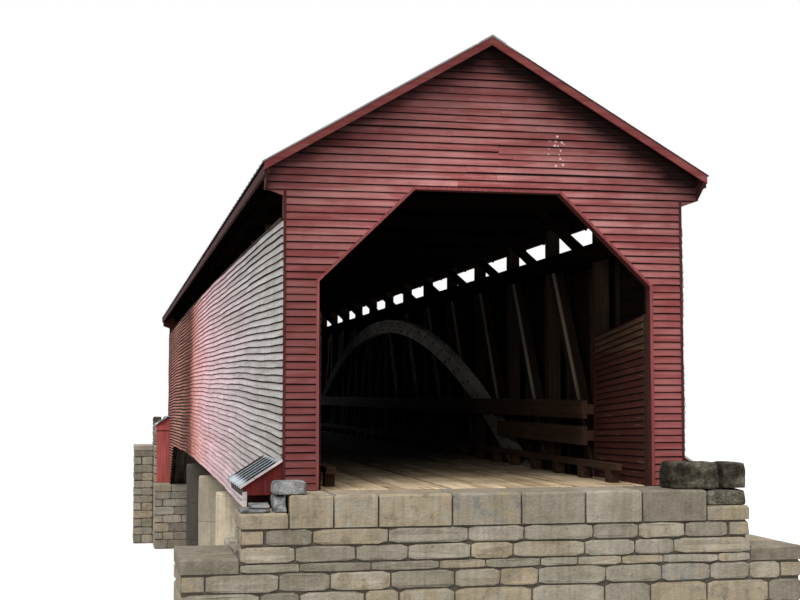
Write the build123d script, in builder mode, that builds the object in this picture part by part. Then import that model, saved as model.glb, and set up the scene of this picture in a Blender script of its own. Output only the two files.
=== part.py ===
from math import asin, atan2, cos, degrees, hypot, radians, sin, sqrt, tan
import os

from build123d import *

# A wooden covered bridge on arch trusses, modelled at half its real size.
# Lengths are in millimetres of the half-size model. Heights are measured from the roadway,
# and the road_level lifts everything above the stream bed, where the frame has its origin.
# X runs across the bridge, Y along it, and the near portal faces -Y.

# Overall sizes
bridge_length = 22600
deck_half_width = 1258
road_level = 2700

# Portal walls
portal_thickness = 85
opening_chamfer_start = 1622
opening_chamfer_run = 768
opening_height = 2367
casing_width = 22
casing_thickness = 15
corner_board_width = 20
eave_return_width = 145
eave_return_rise = 93

# Roof
roof_apex = 3602
eave_overhang = 179
roof_pitch = 30.33
sheet_thickness = 8
roof_board_thickness = 22
rake_overhang = 161
rake_board_depth = 66
rake_board_thickness = 22
sheet_drip = 5
ridge_cap_width = 110
ridge_cap_thickness = 6
fascia_thickness = 22
fascia_setback = 12
fascia_depth = 72
rafter_depth = 90
rafter_width = 50
rafters_per_panel = 2

# Side walls: lapped boards on upright nailers, cambered along their top and bottom edges
siding_thickness = 50
siding_below_chord_top = 10
siding_above_chord_bottom = 15
top_camber = 80
bottom_camber = 90
wall_trim_height = 28
wall_trim_projection = 14
nailer_width = 50
nailer_thickness = 27
nailers_per_panel = 2

# Trusses: posts on a bottom chord, with braces that lean towards midspan
panel_count = 14
end_panel = 1330
deck_edge_gap = 110
post_depth = 120
post_width = 105
shoulder_depth = 50
shoulder_height = 60
shoulder_taper = 50
brace_width = 100
bottom_chord_depth = 140
top_chord_depth = 160
top_chord_top = 2110
inner_stick_thickness = 50

# Arches on both faces of each truss, from a seat in front of each abutment's back wall
arch_depth = 200
springing_gap = 141
arch_crown = 1910
inner_arch_thickness = 100
outer_arch_thickness = 85
arch_clearance = 6
arch_timbers = 8
arch_joint_gap = 0.8

# Ties, knee braces and wall plates
tie_depth = 120
tie_width = 110
knee_width = 78
knee_run = 500
knee_thickness = 90
plate_width = 100
plate_depth = 60
rafter_notch = 43

# Floor
running_plank_thickness = 35
deck_board_thickness = 35
joist_depth = 55
joist_width = 60
joist_count = 7
joist_inset = 118
floor_beam_depth = 110
floor_beam_width = 100
floor_beam_offset = 200
plank_gap = 4
track_gap = 40
left_gap_place = -300
right_gap_place = 750
floor_end_gap = 5

# Kerbs and guard rails
kerb_width = 80
kerb_height = 52
kerb_block_height = 105
kerb_block_length = 120
kerb_start = 370
kerb_edge_gap = 8
kerb_block_spacing = 720
rail_thickness = 50
rail_depth = 168
upper_rail_height = 521
lower_rail_height = 283
rail_block_width = 90

# Boarded wings behind the portals
wing_thickness = 23
wing_top_at_portal = 1400
wing_top_at_post = 1260
wing_stud = 45

# Roofed boxes over the arch ends
box_projection = 300
box_roof_at_wall = 242
box_roof_at_edge = 52
box_roof_thickness = 14
box_roof_overhang = 22
box_board_thickness = 22
box_cheek_bottom = -50
box_fascia_bottom = -80
box_leg_width = 34

# Piers
pier_count = 3
pier_pitch = 3400
pier_shift = -1700
column_radius = 300
column_offset = 42
pier_cap_depth = 65
pier_cap_width = 300
pier_cap_overhang = 12

# Abutments
abutment_margin = 60
abutment_reach = 450
backwall_face = 1100
seat_face = 1750
arch_seat = -1270
shelf_height = -130
wing_wall_width = 440
wing_wall_length = 950
wing_wall_top = -450
cheek_front = 60
cheek_back_height = -450

# Low stone walls in front of the portals
right_guard_stone_inset = 300
right_guard_stone_top = 215
left_guard_stone_inset = 150
left_guard_stone_top = 100
left_slab_start = 120
left_slab_top = -70
guard_stone_start = 120
guard_stone_end = 430

# Places worked out from the sizes above
half_length = bridge_length / 2
panel_pitch = (bridge_length - 2 * end_panel) / panel_count
post_stations = [-half_length + end_panel + panel_pitch * i for i in range(panel_count + 1)]
truss_inner_face = deck_half_width + deck_edge_gap
truss_outer_face = truss_inner_face + post_depth
outer_arch_face = truss_outer_face + outer_arch_thickness
wall_inner_face = outer_arch_face + nailer_thickness
wall_half_width = wall_inner_face + siding_thickness
roof_half_width = wall_half_width + eave_overhang
opening_half_width = truss_inner_face
opening_top_half_width = opening_half_width - opening_chamfer_run
joist_spacing = 2 * (deck_half_width - joist_inset) / (joist_count - 1)
deck_bottom = -running_plank_thickness - deck_board_thickness
joist_bottom = deck_bottom - joist_depth
chord_top = joist_bottom - floor_beam_depth
chord_bottom = chord_top - bottom_chord_depth
roof_slope = tan(radians(roof_pitch))
sheet_drop = sheet_thickness / cos(radians(roof_pitch))
board_drop = (sheet_thickness + roof_board_thickness) / cos(radians(roof_pitch))
rafter_drop = board_drop + rafter_depth / cos(radians(roof_pitch))
fascia_outer = roof_half_width - fascia_setback
fascia_inner = fascia_outer - fascia_thickness
fascia_bottom = roof_apex - board_drop - fascia_outer * roof_slope - fascia_depth
eave_return_height = fascia_bottom - eave_return_rise
plate_top = roof_apex - rafter_drop - wall_inner_face * roof_slope + rafter_notch
tie_top = plate_top - plate_depth
post_head = tie_top - tie_depth
wall_top_at_ends = top_chord_top - siding_below_chord_top
wall_top_at_middle = wall_top_at_ends + top_camber
wall_bottom_at_ends = chord_bottom + siding_above_chord_bottom
wall_bottom_at_middle = wall_bottom_at_ends + bottom_camber
rail_face = truss_inner_face - inner_arch_thickness
box_outer_face = wall_half_width + box_projection
abutment_half_width = box_outer_face + abutment_margin
box_roof_slope = (box_roof_at_wall - box_roof_at_edge) / box_projection
column_top = chord_bottom - pier_cap_depth
column_centre = truss_inner_face + column_offset
pier_cap_length = 2 * (truss_outer_face + pier_cap_overhang)
arch_rise = arch_crown - arch_seat
arch_half_span = half_length - backwall_face - springing_gap
arch_radius = (arch_rise**2 + arch_half_span**2) / (2 * arch_rise)
arch_centre = arch_crown - arch_radius

os.makedirs("parts", exist_ok=True)


# Planes: heights on them count from the roadway

def side_plane(x):
    """Upright plane along the bridge: local X is along Y, local Y is up."""
    return Plane(origin=(x, 0, road_level), x_dir=(0, 1, 0), z_dir=(1, 0, 0))


def cross_plane(y):
    """Upright plane across the bridge: local X is across, local Y is up."""
    return Plane(origin=(0, y, road_level), x_dir=(1, 0, 0), z_dir=(0, -1, 0))


def plan_plane(z):
    """Level plane at a height above the roadway."""
    return Plane.XY.offset(road_level + z)


# Small helpers for the repeated work

def block(x_range, y_range, z_range):
    """A squared timber between two limits in each direction."""
    with BuildSketch(plan_plane(z_range[0])) as footprint:
        with Locations(((x_range[0] + x_range[1]) / 2, (y_range[0] + y_range[1]) / 2)):
            Rectangle(x_range[1] - x_range[0], y_range[1] - y_range[0])
    extrude(footprint.sketch, amount=z_range[1] - z_range[0])


def outline(points):
    """A closed straight-sided face on the current sketch."""
    Polygon(*points, align=None)


def across(piece):
    """The same piece on the other side of the bridge."""
    with BuildPart() as other:
        mirror(piece.part, about=Plane.YZ)
    return other


def along(piece):
    """The same piece at the other end of the bridge."""
    with BuildPart() as other:
        mirror(piece.part, about=Plane.XZ)
    return other


def pair(*pieces):
    """One node that holds pieces which don't touch."""
    with BuildPart() as both:
        for piece in pieces:
            add(piece.part)
    return both


def save(piece, name):
    """Label a finished piece and write it."""
    piece.part.label = name
    export_step(piece.part, f"parts/{name}.step")


def roof_line(x, drop=0):
    """Height of the roof's slope at a distance from the centreline, less a drop."""
    return roof_apex - drop - abs(x) * roof_slope


def arch_reach(radius, height):
    """Distance from midspan at which a circle of the arch passes a height."""
    return sqrt(radius**2 - (height - arch_centre) ** 2)


def arch_height(radius, reach):
    """Height of a circle of the arch at a distance from midspan."""
    return arch_centre + sqrt(radius**2 - reach**2)


def crosses_arch(reach, half_width, low, high):
    """Whether a timber of this width and height band would meet the arch."""
    outer = max(abs(reach) - half_width, 0)
    inner = abs(reach) + half_width
    top = arch_height(arch_radius, outer) + arch_clearance
    bottom = arch_height(arch_radius - arch_depth, inner) - arch_clearance
    return bottom < high and top > low


# Portal walls: a gable with a wide opening whose upper corners are cut off

underside_at_return = roof_line(fascia_inner, board_drop)
gable_outline = [
    (-wall_half_width, 0),
    (wall_half_width, 0),
    (wall_half_width, eave_return_height),
    (wall_half_width + eave_return_width, eave_return_height),
    (fascia_inner, eave_return_height + eave_return_rise),
    (fascia_inner, underside_at_return),
    (0, roof_line(0, board_drop)),
    (-fascia_inner, underside_at_return),
    (-fascia_inner, eave_return_height + eave_return_rise),
    (-wall_half_width - eave_return_width, eave_return_height),
    (-wall_half_width, eave_return_height),
]
opening_outline = [
    (-opening_half_width, 0),
    (-opening_half_width, opening_chamfer_start),
    (-opening_top_half_width, opening_height),
    (opening_top_half_width, opening_height),
    (opening_half_width, opening_chamfer_start),
    (opening_half_width, 0),
]

with BuildPart() as near_portal_wall:
    with BuildSketch(cross_plane(-half_length)) as gable:
        outline(gable_outline)
        with BuildSketch(mode=Mode.SUBTRACT):
            outline(opening_outline)
    extrude(amount=-portal_thickness)

with BuildPart() as near_casing:
    with BuildSketch(cross_plane(-half_length)) as casing_outline:
        with BuildLine() as casing_line:
            Polyline(*opening_outline)
            offset(amount=casing_width, side=Side.LEFT, kind=Kind.INTERSECTION)
        make_face()
    extrude(amount=casing_thickness)

with BuildPart() as near_corner_boards:
    corner_board_range = (wall_half_width - corner_board_width, wall_half_width)
    for side in (-1, 1):
        edges = sorted(side * x for x in corner_board_range)
        block(edges, (-half_length - casing_thickness, -half_length), (0, eave_return_height))

near_trim = pair(near_casing, near_corner_boards)
save(near_portal_wall, "near_portal_wall")
save(along(near_portal_wall), "far_portal_wall")
save(pair(near_trim, along(near_trim)), "portal_casings")


# Roof: boards and metal sheets on each slope, with a ridge cap, rake boards and eave fascias

def slope_band(inner, outer, upper_drop, lower_drop):
    """Outline of one layer of the right-hand slope between two distances from the centre."""
    return [
        (inner, roof_line(inner, upper_drop)),
        (outer, roof_line(outer, upper_drop)),
        (outer, roof_line(outer, lower_drop)),
        (inner, roof_line(inner, lower_drop)),
    ]


boards_half_length = half_length + rake_overhang - rake_board_thickness
sheets_half_length = half_length + rake_overhang + sheet_drip

with BuildPart() as right_roof_boards:
    with BuildSketch(cross_plane(0)):
        outline(slope_band(0, fascia_outer, sheet_drop, board_drop))
    extrude(amount=boards_half_length, both=True)

with BuildPart() as right_roof_sheets:
    with BuildSketch(cross_plane(0)):
        outline(slope_band(0, roof_half_width, 0, sheet_drop))
    extrude(amount=sheets_half_length, both=True)

cap_rise = ridge_cap_thickness / cos(radians(roof_pitch))
with BuildPart() as ridge_cap:
    with BuildSketch(cross_plane(0)):
        outline(
            [
                (-ridge_cap_width, roof_line(ridge_cap_width)),
                (0, roof_apex),
                (ridge_cap_width, roof_line(ridge_cap_width)),
                (ridge_cap_width, roof_line(ridge_cap_width) + cap_rise),
                (0, roof_apex + cap_rise),
                (-ridge_cap_width, roof_line(ridge_cap_width) + cap_rise),
            ]
        )
    extrude(amount=sheets_half_length, both=True)

with BuildPart() as near_rake_board:
    with BuildSketch(cross_plane(-half_length - rake_overhang)):
        outline(
            [
                (0, roof_line(0, sheet_drop)),
                (fascia_outer, roof_line(fascia_outer, sheet_drop)),
                (fascia_outer, roof_line(fascia_outer, sheet_drop + rake_board_depth)),
                (0, roof_line(0, sheet_drop + rake_board_depth)),
                (-fascia_outer, roof_line(fascia_outer, sheet_drop + rake_board_depth)),
                (-fascia_outer, roof_line(fascia_outer, sheet_drop)),
            ]
        )
    extrude(amount=-rake_board_thickness)

with BuildPart() as right_eave_fascia:
    with BuildSketch(cross_plane(0)):
        outline(
            [
                (fascia_inner, roof_line(fascia_inner, board_drop)),
                (fascia_outer, roof_line(fascia_outer, board_drop)),
                (fascia_outer, fascia_bottom),
                (fascia_inner, fascia_bottom),
            ]
        )
    extrude(amount=boards_half_length, both=True)

save(across(right_roof_boards), "left_roof_boards")
save(right_roof_boards, "right_roof_boards")
save(across(right_roof_sheets), "left_roof_sheets")
save(right_roof_sheets, "right_roof_sheets")
save(ridge_cap, "ridge_cap")
save(pair(near_rake_board, along(near_rake_board)), "rake_boards")
save(pair(across(right_eave_fascia), right_eave_fascia), "eave_fascias")


# Rafters, each cut over the wall plate that carries it

rafter_pitch = panel_pitch / rafters_per_panel
rafter_reach = half_length - portal_thickness - rafter_width
rafter_pairs = int(rafter_reach / rafter_pitch)
rafter_stations = [rafter_pitch * i for i in range(-rafter_pairs, rafter_pairs + 1)]

with BuildPart() as right_rafters:
    for station in rafter_stations:
        with BuildSketch(cross_plane(station)):
            outline(slope_band(0, fascia_inner, board_drop, rafter_drop))
            with Locations((wall_inner_face - plate_width / 2, plate_top - plate_depth)):
                Rectangle(plate_width, 2 * plate_depth, mode=Mode.SUBTRACT)
    extrude(amount=rafter_width / 2, both=True)

with BuildPart() as right_wall_plate:
    plate_reach = half_length - portal_thickness
    block((wall_inner_face - plate_width, wall_inner_face), (-plate_reach, plate_reach), (tie_top, plate_top))

save(across(right_rafters), "left_rafters")
save(right_rafters, "right_rafters")
save(pair(across(right_wall_plate), right_wall_plate), "wall_plates")


# Tie beams on the post heads, with knee braces up from the top chords

with BuildPart() as tie_beams:
    for station in post_stations:
        tie_range = (station - tie_width / 2, station + tie_width / 2)
        block((-wall_inner_face, wall_inner_face), tie_range, (post_head, tie_top))

stick_face = truss_inner_face - inner_stick_thickness
knee_foot = top_chord_top - top_chord_depth
knee_head = stick_face - knee_run
with BuildPart() as right_knee_braces:
    for station in post_stations:
        with BuildSketch(cross_plane(station)):
            outline(
                [
                    (stick_face, knee_foot),
                    (stick_face, knee_foot + knee_width),
                    (knee_head + knee_width, post_head),
                    (knee_head, post_head),
                    (knee_head + knee_width / 2, post_head - knee_width / 2),
                    (stick_face - knee_width / 2, knee_foot),
                ]
            )
    extrude(amount=knee_thickness / 2, both=True)

save(tie_beams, "tie_beams")
save(pair(across(right_knee_braces), right_knee_braces), "knee_braces")


# Posts: each foot has a shoulder for the brace that starts there, each head one for the
# brace that arrives. Braces bear square on the shoulders and plumb on the post's face.

def foot_shoulder(face, way):
    """Widened foot on the midspan side of a post, cut square to the brace."""
    rise = shoulder_depth * brace_run / brace_rise
    return [
        (face, chord_top),
        (face + way * shoulder_depth, chord_top),
        (face + way * shoulder_depth, chord_top + shoulder_height),
        (face, chord_top + shoulder_height + rise),
    ]


def head_shoulder(face, way):
    """Widened head on the portal side of a post, with a taper above."""
    rise = shoulder_depth * brace_run / brace_rise
    return [
        (face, top_chord_top - shoulder_height - rise),
        (face - way * shoulder_depth, top_chord_top - shoulder_height),
        (face - way * shoulder_depth, top_chord_top),
        (face, top_chord_top + shoulder_taper),
    ]


# The brace's lower edge passes the foot shoulder's tip, its upper edge the head shoulder's
tip_run = panel_pitch - post_width - 2 * shoulder_depth
tip_rise = top_chord_top - chord_top - 2 * shoulder_height
brace_angle = atan2(tip_rise, tip_run) - asin(brace_width / hypot(tip_run, tip_rise))
brace_run = cos(brace_angle)
brace_rise = sin(brace_angle)


def brace_outline(foot_face, head_face, way):
    """A brace between two posts that leans towards midspan."""
    shoulder_rise = shoulder_depth * brace_run / brace_rise
    edge_rise = brace_width / brace_run - shoulder_depth * brace_rise / brace_run
    foot_tip = chord_top + shoulder_height
    head_tip = top_chord_top - shoulder_height
    return [
        (foot_face + way * shoulder_depth, foot_tip),
        (foot_face, foot_tip + shoulder_rise),
        (foot_face, foot_tip + edge_rise),
        (head_face - way * shoulder_depth, head_tip),
        (head_face, head_tip - shoulder_rise),
        (head_face, head_tip - edge_rise),
    ]


middle_post = panel_count // 2
with BuildPart() as right_posts:
    with BuildSketch(side_plane(truss_inner_face)):
        for number, station in enumerate(post_stations):
            with Locations((station, (chord_top + post_head) / 2)):
                Rectangle(post_width, post_head - chord_top)
            near_half = number < middle_post
            far_half = number > panel_count - middle_post
            if near_half:
                outline(foot_shoulder(station + post_width / 2, 1))
            if far_half:
                outline(foot_shoulder(station - post_width / 2, -1))
            if 0 < number <= middle_post:
                outline(head_shoulder(station - post_width / 2, 1))
            if panel_count - middle_post <= number < panel_count:
                outline(head_shoulder(station + post_width / 2, -1))
    extrude(amount=post_depth)

with BuildPart() as right_braces:
    with BuildSketch(side_plane(truss_inner_face)):
        for number in range(middle_post):
            near_foot = post_stations[number] + post_width / 2
            near_head = post_stations[number + 1] - post_width / 2
            outline(brace_outline(near_foot, near_head, 1))
            outline(brace_outline(-near_foot, -near_head, -1))
    extrude(amount=post_depth)

chord_reach = half_length - portal_thickness - floor_end_gap
with BuildPart() as right_bottom_chord:
    chord_range = (truss_inner_face, truss_outer_face)
    block(chord_range, (-chord_reach, chord_reach), (chord_bottom, chord_top))

top_chord_range = (top_chord_top - top_chord_depth, top_chord_top)
with BuildPart() as right_top_chord:
    block((stick_face, truss_inner_face), (-chord_reach, chord_reach), top_chord_range)
    block((truss_outer_face, outer_arch_face), (-chord_reach, chord_reach), top_chord_range)

save(across(right_posts), "left_posts")
save(right_posts, "right_posts")
save(across(right_braces), "left_braces")
save(right_braces, "right_braces")
save(pair(across(right_top_chord), right_top_chord), "top_chords")
save(pair(across(right_bottom_chord), right_bottom_chord), "bottom_chords")


# Arches: rings of one radius that spring from the stone seats. Each is built of curved timbers
# that meet end to end, with the joints of the outer arch halfway between those of the inner one.

def joint_angles(shift):
    """Angles from the crown, in degrees, at which the timbers of an arch meet."""
    half_spread = degrees(asin(arch_half_span / arch_radius))
    return [half_spread * (2 * (i + shift) / arch_timbers - 1) for i in range(arch_timbers) if i + shift > 0]


def arch_ring(clearance=0, joints=()):
    """Ring of the arch between its seats, grown by a clearance and sawn at the joints."""
    with BuildSketch() as ring:
        with Locations((0, arch_centre)):
            Circle(arch_radius + clearance)
            Circle(arch_radius - arch_depth - clearance, mode=Mode.SUBTRACT)
        with Locations((0, arch_seat - clearance)):
            keep = (Align.CENTER, Align.MIN)
            Rectangle(bridge_length, arch_crown - arch_seat + 3 * arch_depth, align=keep, mode=Mode.INTERSECT)
        for angle in joints:
            with Locations(Location((0, arch_centre, 0), (0, 0, angle))):
                Rectangle(arch_joint_gap, 3 * arch_radius, mode=Mode.SUBTRACT)
    return ring.sketch


with BuildPart() as right_inner_arch:
    with BuildSketch(side_plane(rail_face)):
        add(arch_ring(joints=joint_angles(0)))
    extrude(amount=inner_arch_thickness)

with BuildPart() as right_outer_arch:
    with BuildSketch(side_plane(truss_outer_face)):
        add(arch_ring(joints=joint_angles(0.5)))
    extrude(amount=outer_arch_thickness)

save(across(right_inner_arch), "left_inner_arch")
save(right_inner_arch, "right_inner_arch")
save(across(right_outer_arch), "left_outer_arch")
save(right_outer_arch, "right_outer_arch")


# Side walls: cambered lapped siding that dips at both ends to follow the arch down to its
# seat, on upright nailers between the top chord and a girt that is cut round the arch

wall_reach = half_length - portal_thickness
backwall_reach = half_length - backwall_face
intrados = arch_radius - arch_depth
skirt_foot = arch_reach(intrados, arch_seat)
skirt_top = arch_reach(intrados, wall_bottom_at_ends)
skirt_middle_height = (arch_seat + wall_bottom_at_ends) / 2
skirt_middle = arch_reach(intrados, skirt_middle_height)

with BuildPart() as right_side_wall:
    with BuildSketch(side_plane(wall_inner_face)):
        with BuildLine():
            ThreePointArc(
                (-wall_reach, wall_top_at_ends),
                (0, wall_top_at_middle),
                (wall_reach, wall_top_at_ends),
            )
            for way in (-1, 1):
                Polyline(
                    (way * wall_reach, wall_top_at_ends),
                    (way * wall_reach, chord_bottom),
                    (way * backwall_reach, chord_bottom),
                    (way * backwall_reach, arch_seat),
                    (way * skirt_foot, arch_seat),
                )
                ThreePointArc(
                    (way * skirt_foot, arch_seat),
                    (way * skirt_middle, skirt_middle_height),
                    (way * skirt_top, wall_bottom_at_ends),
                )
            ThreePointArc(
                (-skirt_top, wall_bottom_at_ends),
                (0, wall_bottom_at_middle),
                (skirt_top, wall_bottom_at_ends),
            )
        make_face()
    extrude(amount=siding_thickness)

with BuildPart() as right_wall_trim:
    with BuildSketch(side_plane(wall_inner_face)):
        with BuildLine():
            ThreePointArc(
                (-wall_reach, wall_top_at_ends),
                (0, wall_top_at_middle),
                (wall_reach, wall_top_at_ends),
            )
            Line(
                (wall_reach, wall_top_at_ends),
                (wall_reach, wall_top_at_ends + wall_trim_height),
            )
            ThreePointArc(
                (wall_reach, wall_top_at_ends + wall_trim_height),
                (0, wall_top_at_middle + wall_trim_height),
                (-wall_reach, wall_top_at_ends + wall_trim_height),
            )
            Line(
                (-wall_reach, wall_top_at_ends + wall_trim_height),
                (-wall_reach, wall_top_at_ends),
            )
        make_face()
    extrude(amount=siding_thickness + wall_trim_projection)

nailer_pitch = panel_pitch / nailers_per_panel
nailer_pairs = int((wall_reach - nailer_width) / nailer_pitch)
with BuildPart() as right_nailers:
    for i in range(-nailer_pairs, nailer_pairs + 1):
        station = nailer_pitch * i
        nailer_range = (station - nailer_width / 2, station + nailer_width / 2)
        nailer_depth = (wall_inner_face - nailer_thickness, wall_inner_face)
        block(nailer_depth, nailer_range, (wall_bottom_at_middle, top_chord_top - 1))

with BuildPart() as right_girt:
    girt_range = (truss_outer_face, outer_arch_face)
    block(girt_range, (-chord_reach, chord_reach), (chord_bottom, chord_top))
    with BuildSketch(side_plane(truss_outer_face)):
        add(arch_ring(arch_clearance))
    extrude(amount=outer_arch_thickness, mode=Mode.SUBTRACT)

save(across(right_side_wall), "left_side_wall")
save(right_side_wall, "right_side_wall")
save(pair(across(right_wall_trim), right_wall_trim), "wall_trims")
save(pair(across(right_nailers), right_nailers), "wall_nailers")
save(pair(across(right_girt), right_girt), "wall_girts")


# Floor: beams on the bottom chords, joists, crosswise deck boards and running planks

beam_stations = []
for station in post_stations:
    for way in (-1, 1):
        place = station + way * floor_beam_offset
        if not crosses_arch(place, floor_beam_width / 2, chord_top, joist_bottom):
            beam_stations.append(place)

with BuildPart() as floor_beams:
    for place in beam_stations:
        beam_range = (place - floor_beam_width / 2, place + floor_beam_width / 2)
        block((-truss_outer_face, truss_outer_face), beam_range, (chord_top, joist_bottom))

with BuildPart() as floor_joists:
    with BuildSketch(plan_plane(joist_bottom)):
        with GridLocations(joist_spacing, 0, joist_count, 1):
            Rectangle(joist_width, 2 * chord_reach)
    extrude(amount=joist_depth)

wing_reach = half_length - end_panel + post_width / 2
with BuildPart() as deck_boards:
    with BuildSketch(plan_plane(deck_bottom)):
        Rectangle(2 * deck_half_width, 2 * chord_reach)
        for way in (-1, 1):
            with Locations((0, way * (chord_reach + wing_reach) / 2)):
                Rectangle(2 * truss_inner_face, chord_reach - wing_reach)
    extrude(amount=deck_board_thickness)

plank_bands = [
    (-deck_half_width, left_gap_place - track_gap / 2),
    (left_gap_place + track_gap / 2, right_gap_place - track_gap / 2),
    (right_gap_place + track_gap / 2, deck_half_width),
]
wing_face = truss_inner_face - wing_thickness
with BuildPart() as running_planks:
    for band in plank_bands:
        block(band, (-chord_reach, chord_reach), (-running_plank_thickness, 0))
    for way in (-1, 1):
        for side in (-1, 1):
            strip = sorted((side * (deck_half_width + plank_gap), side * wing_face))
            ends = sorted((way * chord_reach, way * wing_reach))
            block(strip, ends, (-running_plank_thickness, 0))

save(floor_beams, "floor_beams")
save(floor_joists, "floor_joists")
save(deck_boards, "deck_boards")
save(running_planks, "running_planks")


# Kerbs on blocks, and guard rails spaced off the posts

kerb_outer = deck_half_width - kerb_edge_gap
kerb_reach = half_length - kerb_start
kerb_blocks = int(kerb_reach / kerb_block_spacing)
with BuildPart() as right_kerb:
    kerb_range = (kerb_outer - kerb_width, kerb_outer)
    block(kerb_range, (-kerb_reach, kerb_reach), (kerb_block_height, kerb_block_height + kerb_height))
    for i in range(-kerb_blocks, kerb_blocks + 1):
        place = i * kerb_block_spacing
        block_range = (place - kerb_block_length / 2, place + kerb_block_length / 2)
        block(kerb_range, block_range, (0, kerb_block_height))


def rail_block(station, height):
    """Packing between a rail and a post, left out where the arch fills the space."""
    low = height + (rail_depth - rail_block_width) / 2
    if not crosses_arch(station, rail_block_width / 2, low, low + rail_block_width):
        packing = (station - rail_block_width / 2, station + rail_block_width / 2)
        block((rail_face, truss_inner_face), packing, (low, low + rail_block_width))


rail_range = (rail_face - rail_thickness, rail_face)
lower_rail_reach = arch_reach(arch_radius, lower_rail_height + rail_depth / 2)
with BuildPart() as right_rails:
    upper_range = (upper_rail_height, upper_rail_height + rail_depth)
    lower_range = (lower_rail_height, lower_rail_height + rail_depth)
    block(rail_range, (-wing_reach, wing_reach), upper_range)
    for station in post_stations:
        rail_block(station, upper_rail_height)
    for way in (-1, 1):
        ends = sorted((way * wing_reach, way * lower_rail_reach))
        block(rail_range, ends, lower_range)
    for station in post_stations:
        if abs(station) > lower_rail_reach:
            rail_block(station, lower_rail_height)

save(pair(across(right_kerb), right_kerb), "kerb_timbers")
save(pair(across(right_rails), right_rails), "guard_rails")


# Boarded wings from the portal back to the first post, with a stud at each end

wing_outline = [
    (-wall_reach, -running_plank_thickness),
    (-wing_reach, -running_plank_thickness),
    (-wing_reach, wing_top_at_post),
    (-wall_reach, wing_top_at_portal),
]
with BuildPart() as near_right_wing:
    with BuildSketch(side_plane(wing_face)):
        outline(wing_outline)
    extrude(amount=wing_thickness)
    with BuildSketch(side_plane(truss_inner_face)):
        outline(wing_outline)
        with Locations((-(wall_reach + wing_reach) / 2, 0)):
            hollow = wall_reach - wing_reach - 2 * wing_stud
            Rectangle(hollow, 3 * wing_top_at_portal, mode=Mode.SUBTRACT)
    extrude(amount=wing_stud)

near_wings = pair(across(near_right_wing), near_right_wing)
save(pair(near_wings, along(near_wings)), "portal_wings")


# Boxes over the arch ends: cheek, outer fascia and back boards under a small metal roof

def box_roof_line(x):
    """Underside of the box's roof at a distance from the centreline."""
    return box_roof_at_wall - (x - wall_half_width) * box_roof_slope - box_roof_thickness


def arch_end_box(back_bottom):
    """Box at the right near corner; its back boards reach down to the given height."""
    front = -half_length
    back = -half_length + backwall_face
    fascia_face = box_outer_face - box_board_thickness
    with BuildPart() as box:
        for place, bottom in ((front, box_cheek_bottom), (back, back_bottom)):
            with BuildSketch(cross_plane(place)):
                outline(
                    [
                        (wall_half_width, bottom),
                        (box_outer_face, bottom),
                        (box_outer_face, box_roof_line(box_outer_face)),
                        (wall_half_width, box_roof_line(wall_half_width)),
                    ]
                )
            extrude(amount=-box_board_thickness)
        with BuildSketch(cross_plane(front)):
            outline(
                [
                    (fascia_face, box_fascia_bottom),
                    (box_outer_face, box_fascia_bottom),
                    (box_outer_face, box_roof_line(box_outer_face)),
                    (fascia_face, box_roof_line(fascia_face)),
                ]
            )
        extrude(amount=-backwall_face)
        leg = (box_outer_face - box_leg_width, box_outer_face)
        block(leg, (front, front + box_leg_width), (shelf_height, box_cheek_bottom))
    return box


with BuildPart() as near_right_box_roof:
    box_edge = box_outer_face + box_roof_overhang
    box_roof_start = -half_length - box_roof_overhang
    box_roof_length = backwall_face + box_board_thickness + 2 * box_roof_overhang
    with BuildSketch(cross_plane(box_roof_start)):
        outline(
            [
                (wall_half_width, box_roof_line(wall_half_width)),
                (box_edge, box_roof_line(box_edge)),
                (box_edge, box_roof_line(box_edge) + box_roof_thickness),
                (wall_half_width, box_roof_at_wall),
            ]
        )
    extrude(amount=-box_roof_length)

near_right_box = arch_end_box(box_cheek_bottom)
far_right_box = along(arch_end_box(arch_seat))
near_boxes = pair(across(near_right_box), near_right_box)
far_boxes = pair(across(far_right_box), far_right_box)
box_roof_pair = pair(across(near_right_box_roof), near_right_box_roof)
save(pair(near_boxes, far_boxes), "arch_end_boxes")
save(pair(box_roof_pair, along(box_roof_pair)), "arch_end_roofs")


# Piers: pairs of round columns under a cap beam that carries both trusses

with BuildPart() as pier_columns:
    with BuildSketch(Plane.XY):
        with Locations((0, pier_shift)):
            with GridLocations(2 * column_centre, pier_pitch, 2, pier_count):
                Circle(column_radius)
    extrude(amount=road_level + column_top)

with BuildPart() as pier_caps:
    with BuildSketch(plan_plane(column_top)):
        with Locations((0, pier_shift)):
            with GridLocations(0, pier_pitch, 1, pier_count):
                Rectangle(pier_cap_length, pier_cap_width)
    extrude(amount=pier_cap_depth)

save(pier_columns, "pier_columns")
save(pier_caps, "pier_caps")


# Abutments: stepped masonry with ledges for the chords and the arches, and wing walls

def masonry(points, inner, outer):
    """A band of the abutment with one stepped profile, from one distance across to another."""
    with BuildSketch(side_plane(inner)) as band:
        outline([(reach - half_length, height) for reach, height in points])
    extrude(band.sketch, amount=outer - inner)


core_profile = [
    (-abutment_reach, -road_level),
    (seat_face, -road_level),
    (seat_face, arch_seat),
    (backwall_face, arch_seat),
    (backwall_face, chord_bottom),
    (portal_thickness, chord_bottom),
    (portal_thickness, 0),
    (-abutment_reach, 0),
]
cheek_profile = [
    (-abutment_reach, -road_level),
    (seat_face, -road_level),
    (seat_face, arch_seat),
    (backwall_face, arch_seat),
    (backwall_face, cheek_back_height),
    (cheek_front, cheek_back_height),
    (cheek_front, shelf_height),
    (-abutment_reach, shelf_height),
]
wing_wall_profile = [
    (-abutment_reach, -road_level),
    (-abutment_reach + wing_wall_length, -road_level),
    (-abutment_reach + wing_wall_length, wing_wall_top),
    (-abutment_reach, wing_wall_top),
]

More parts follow.
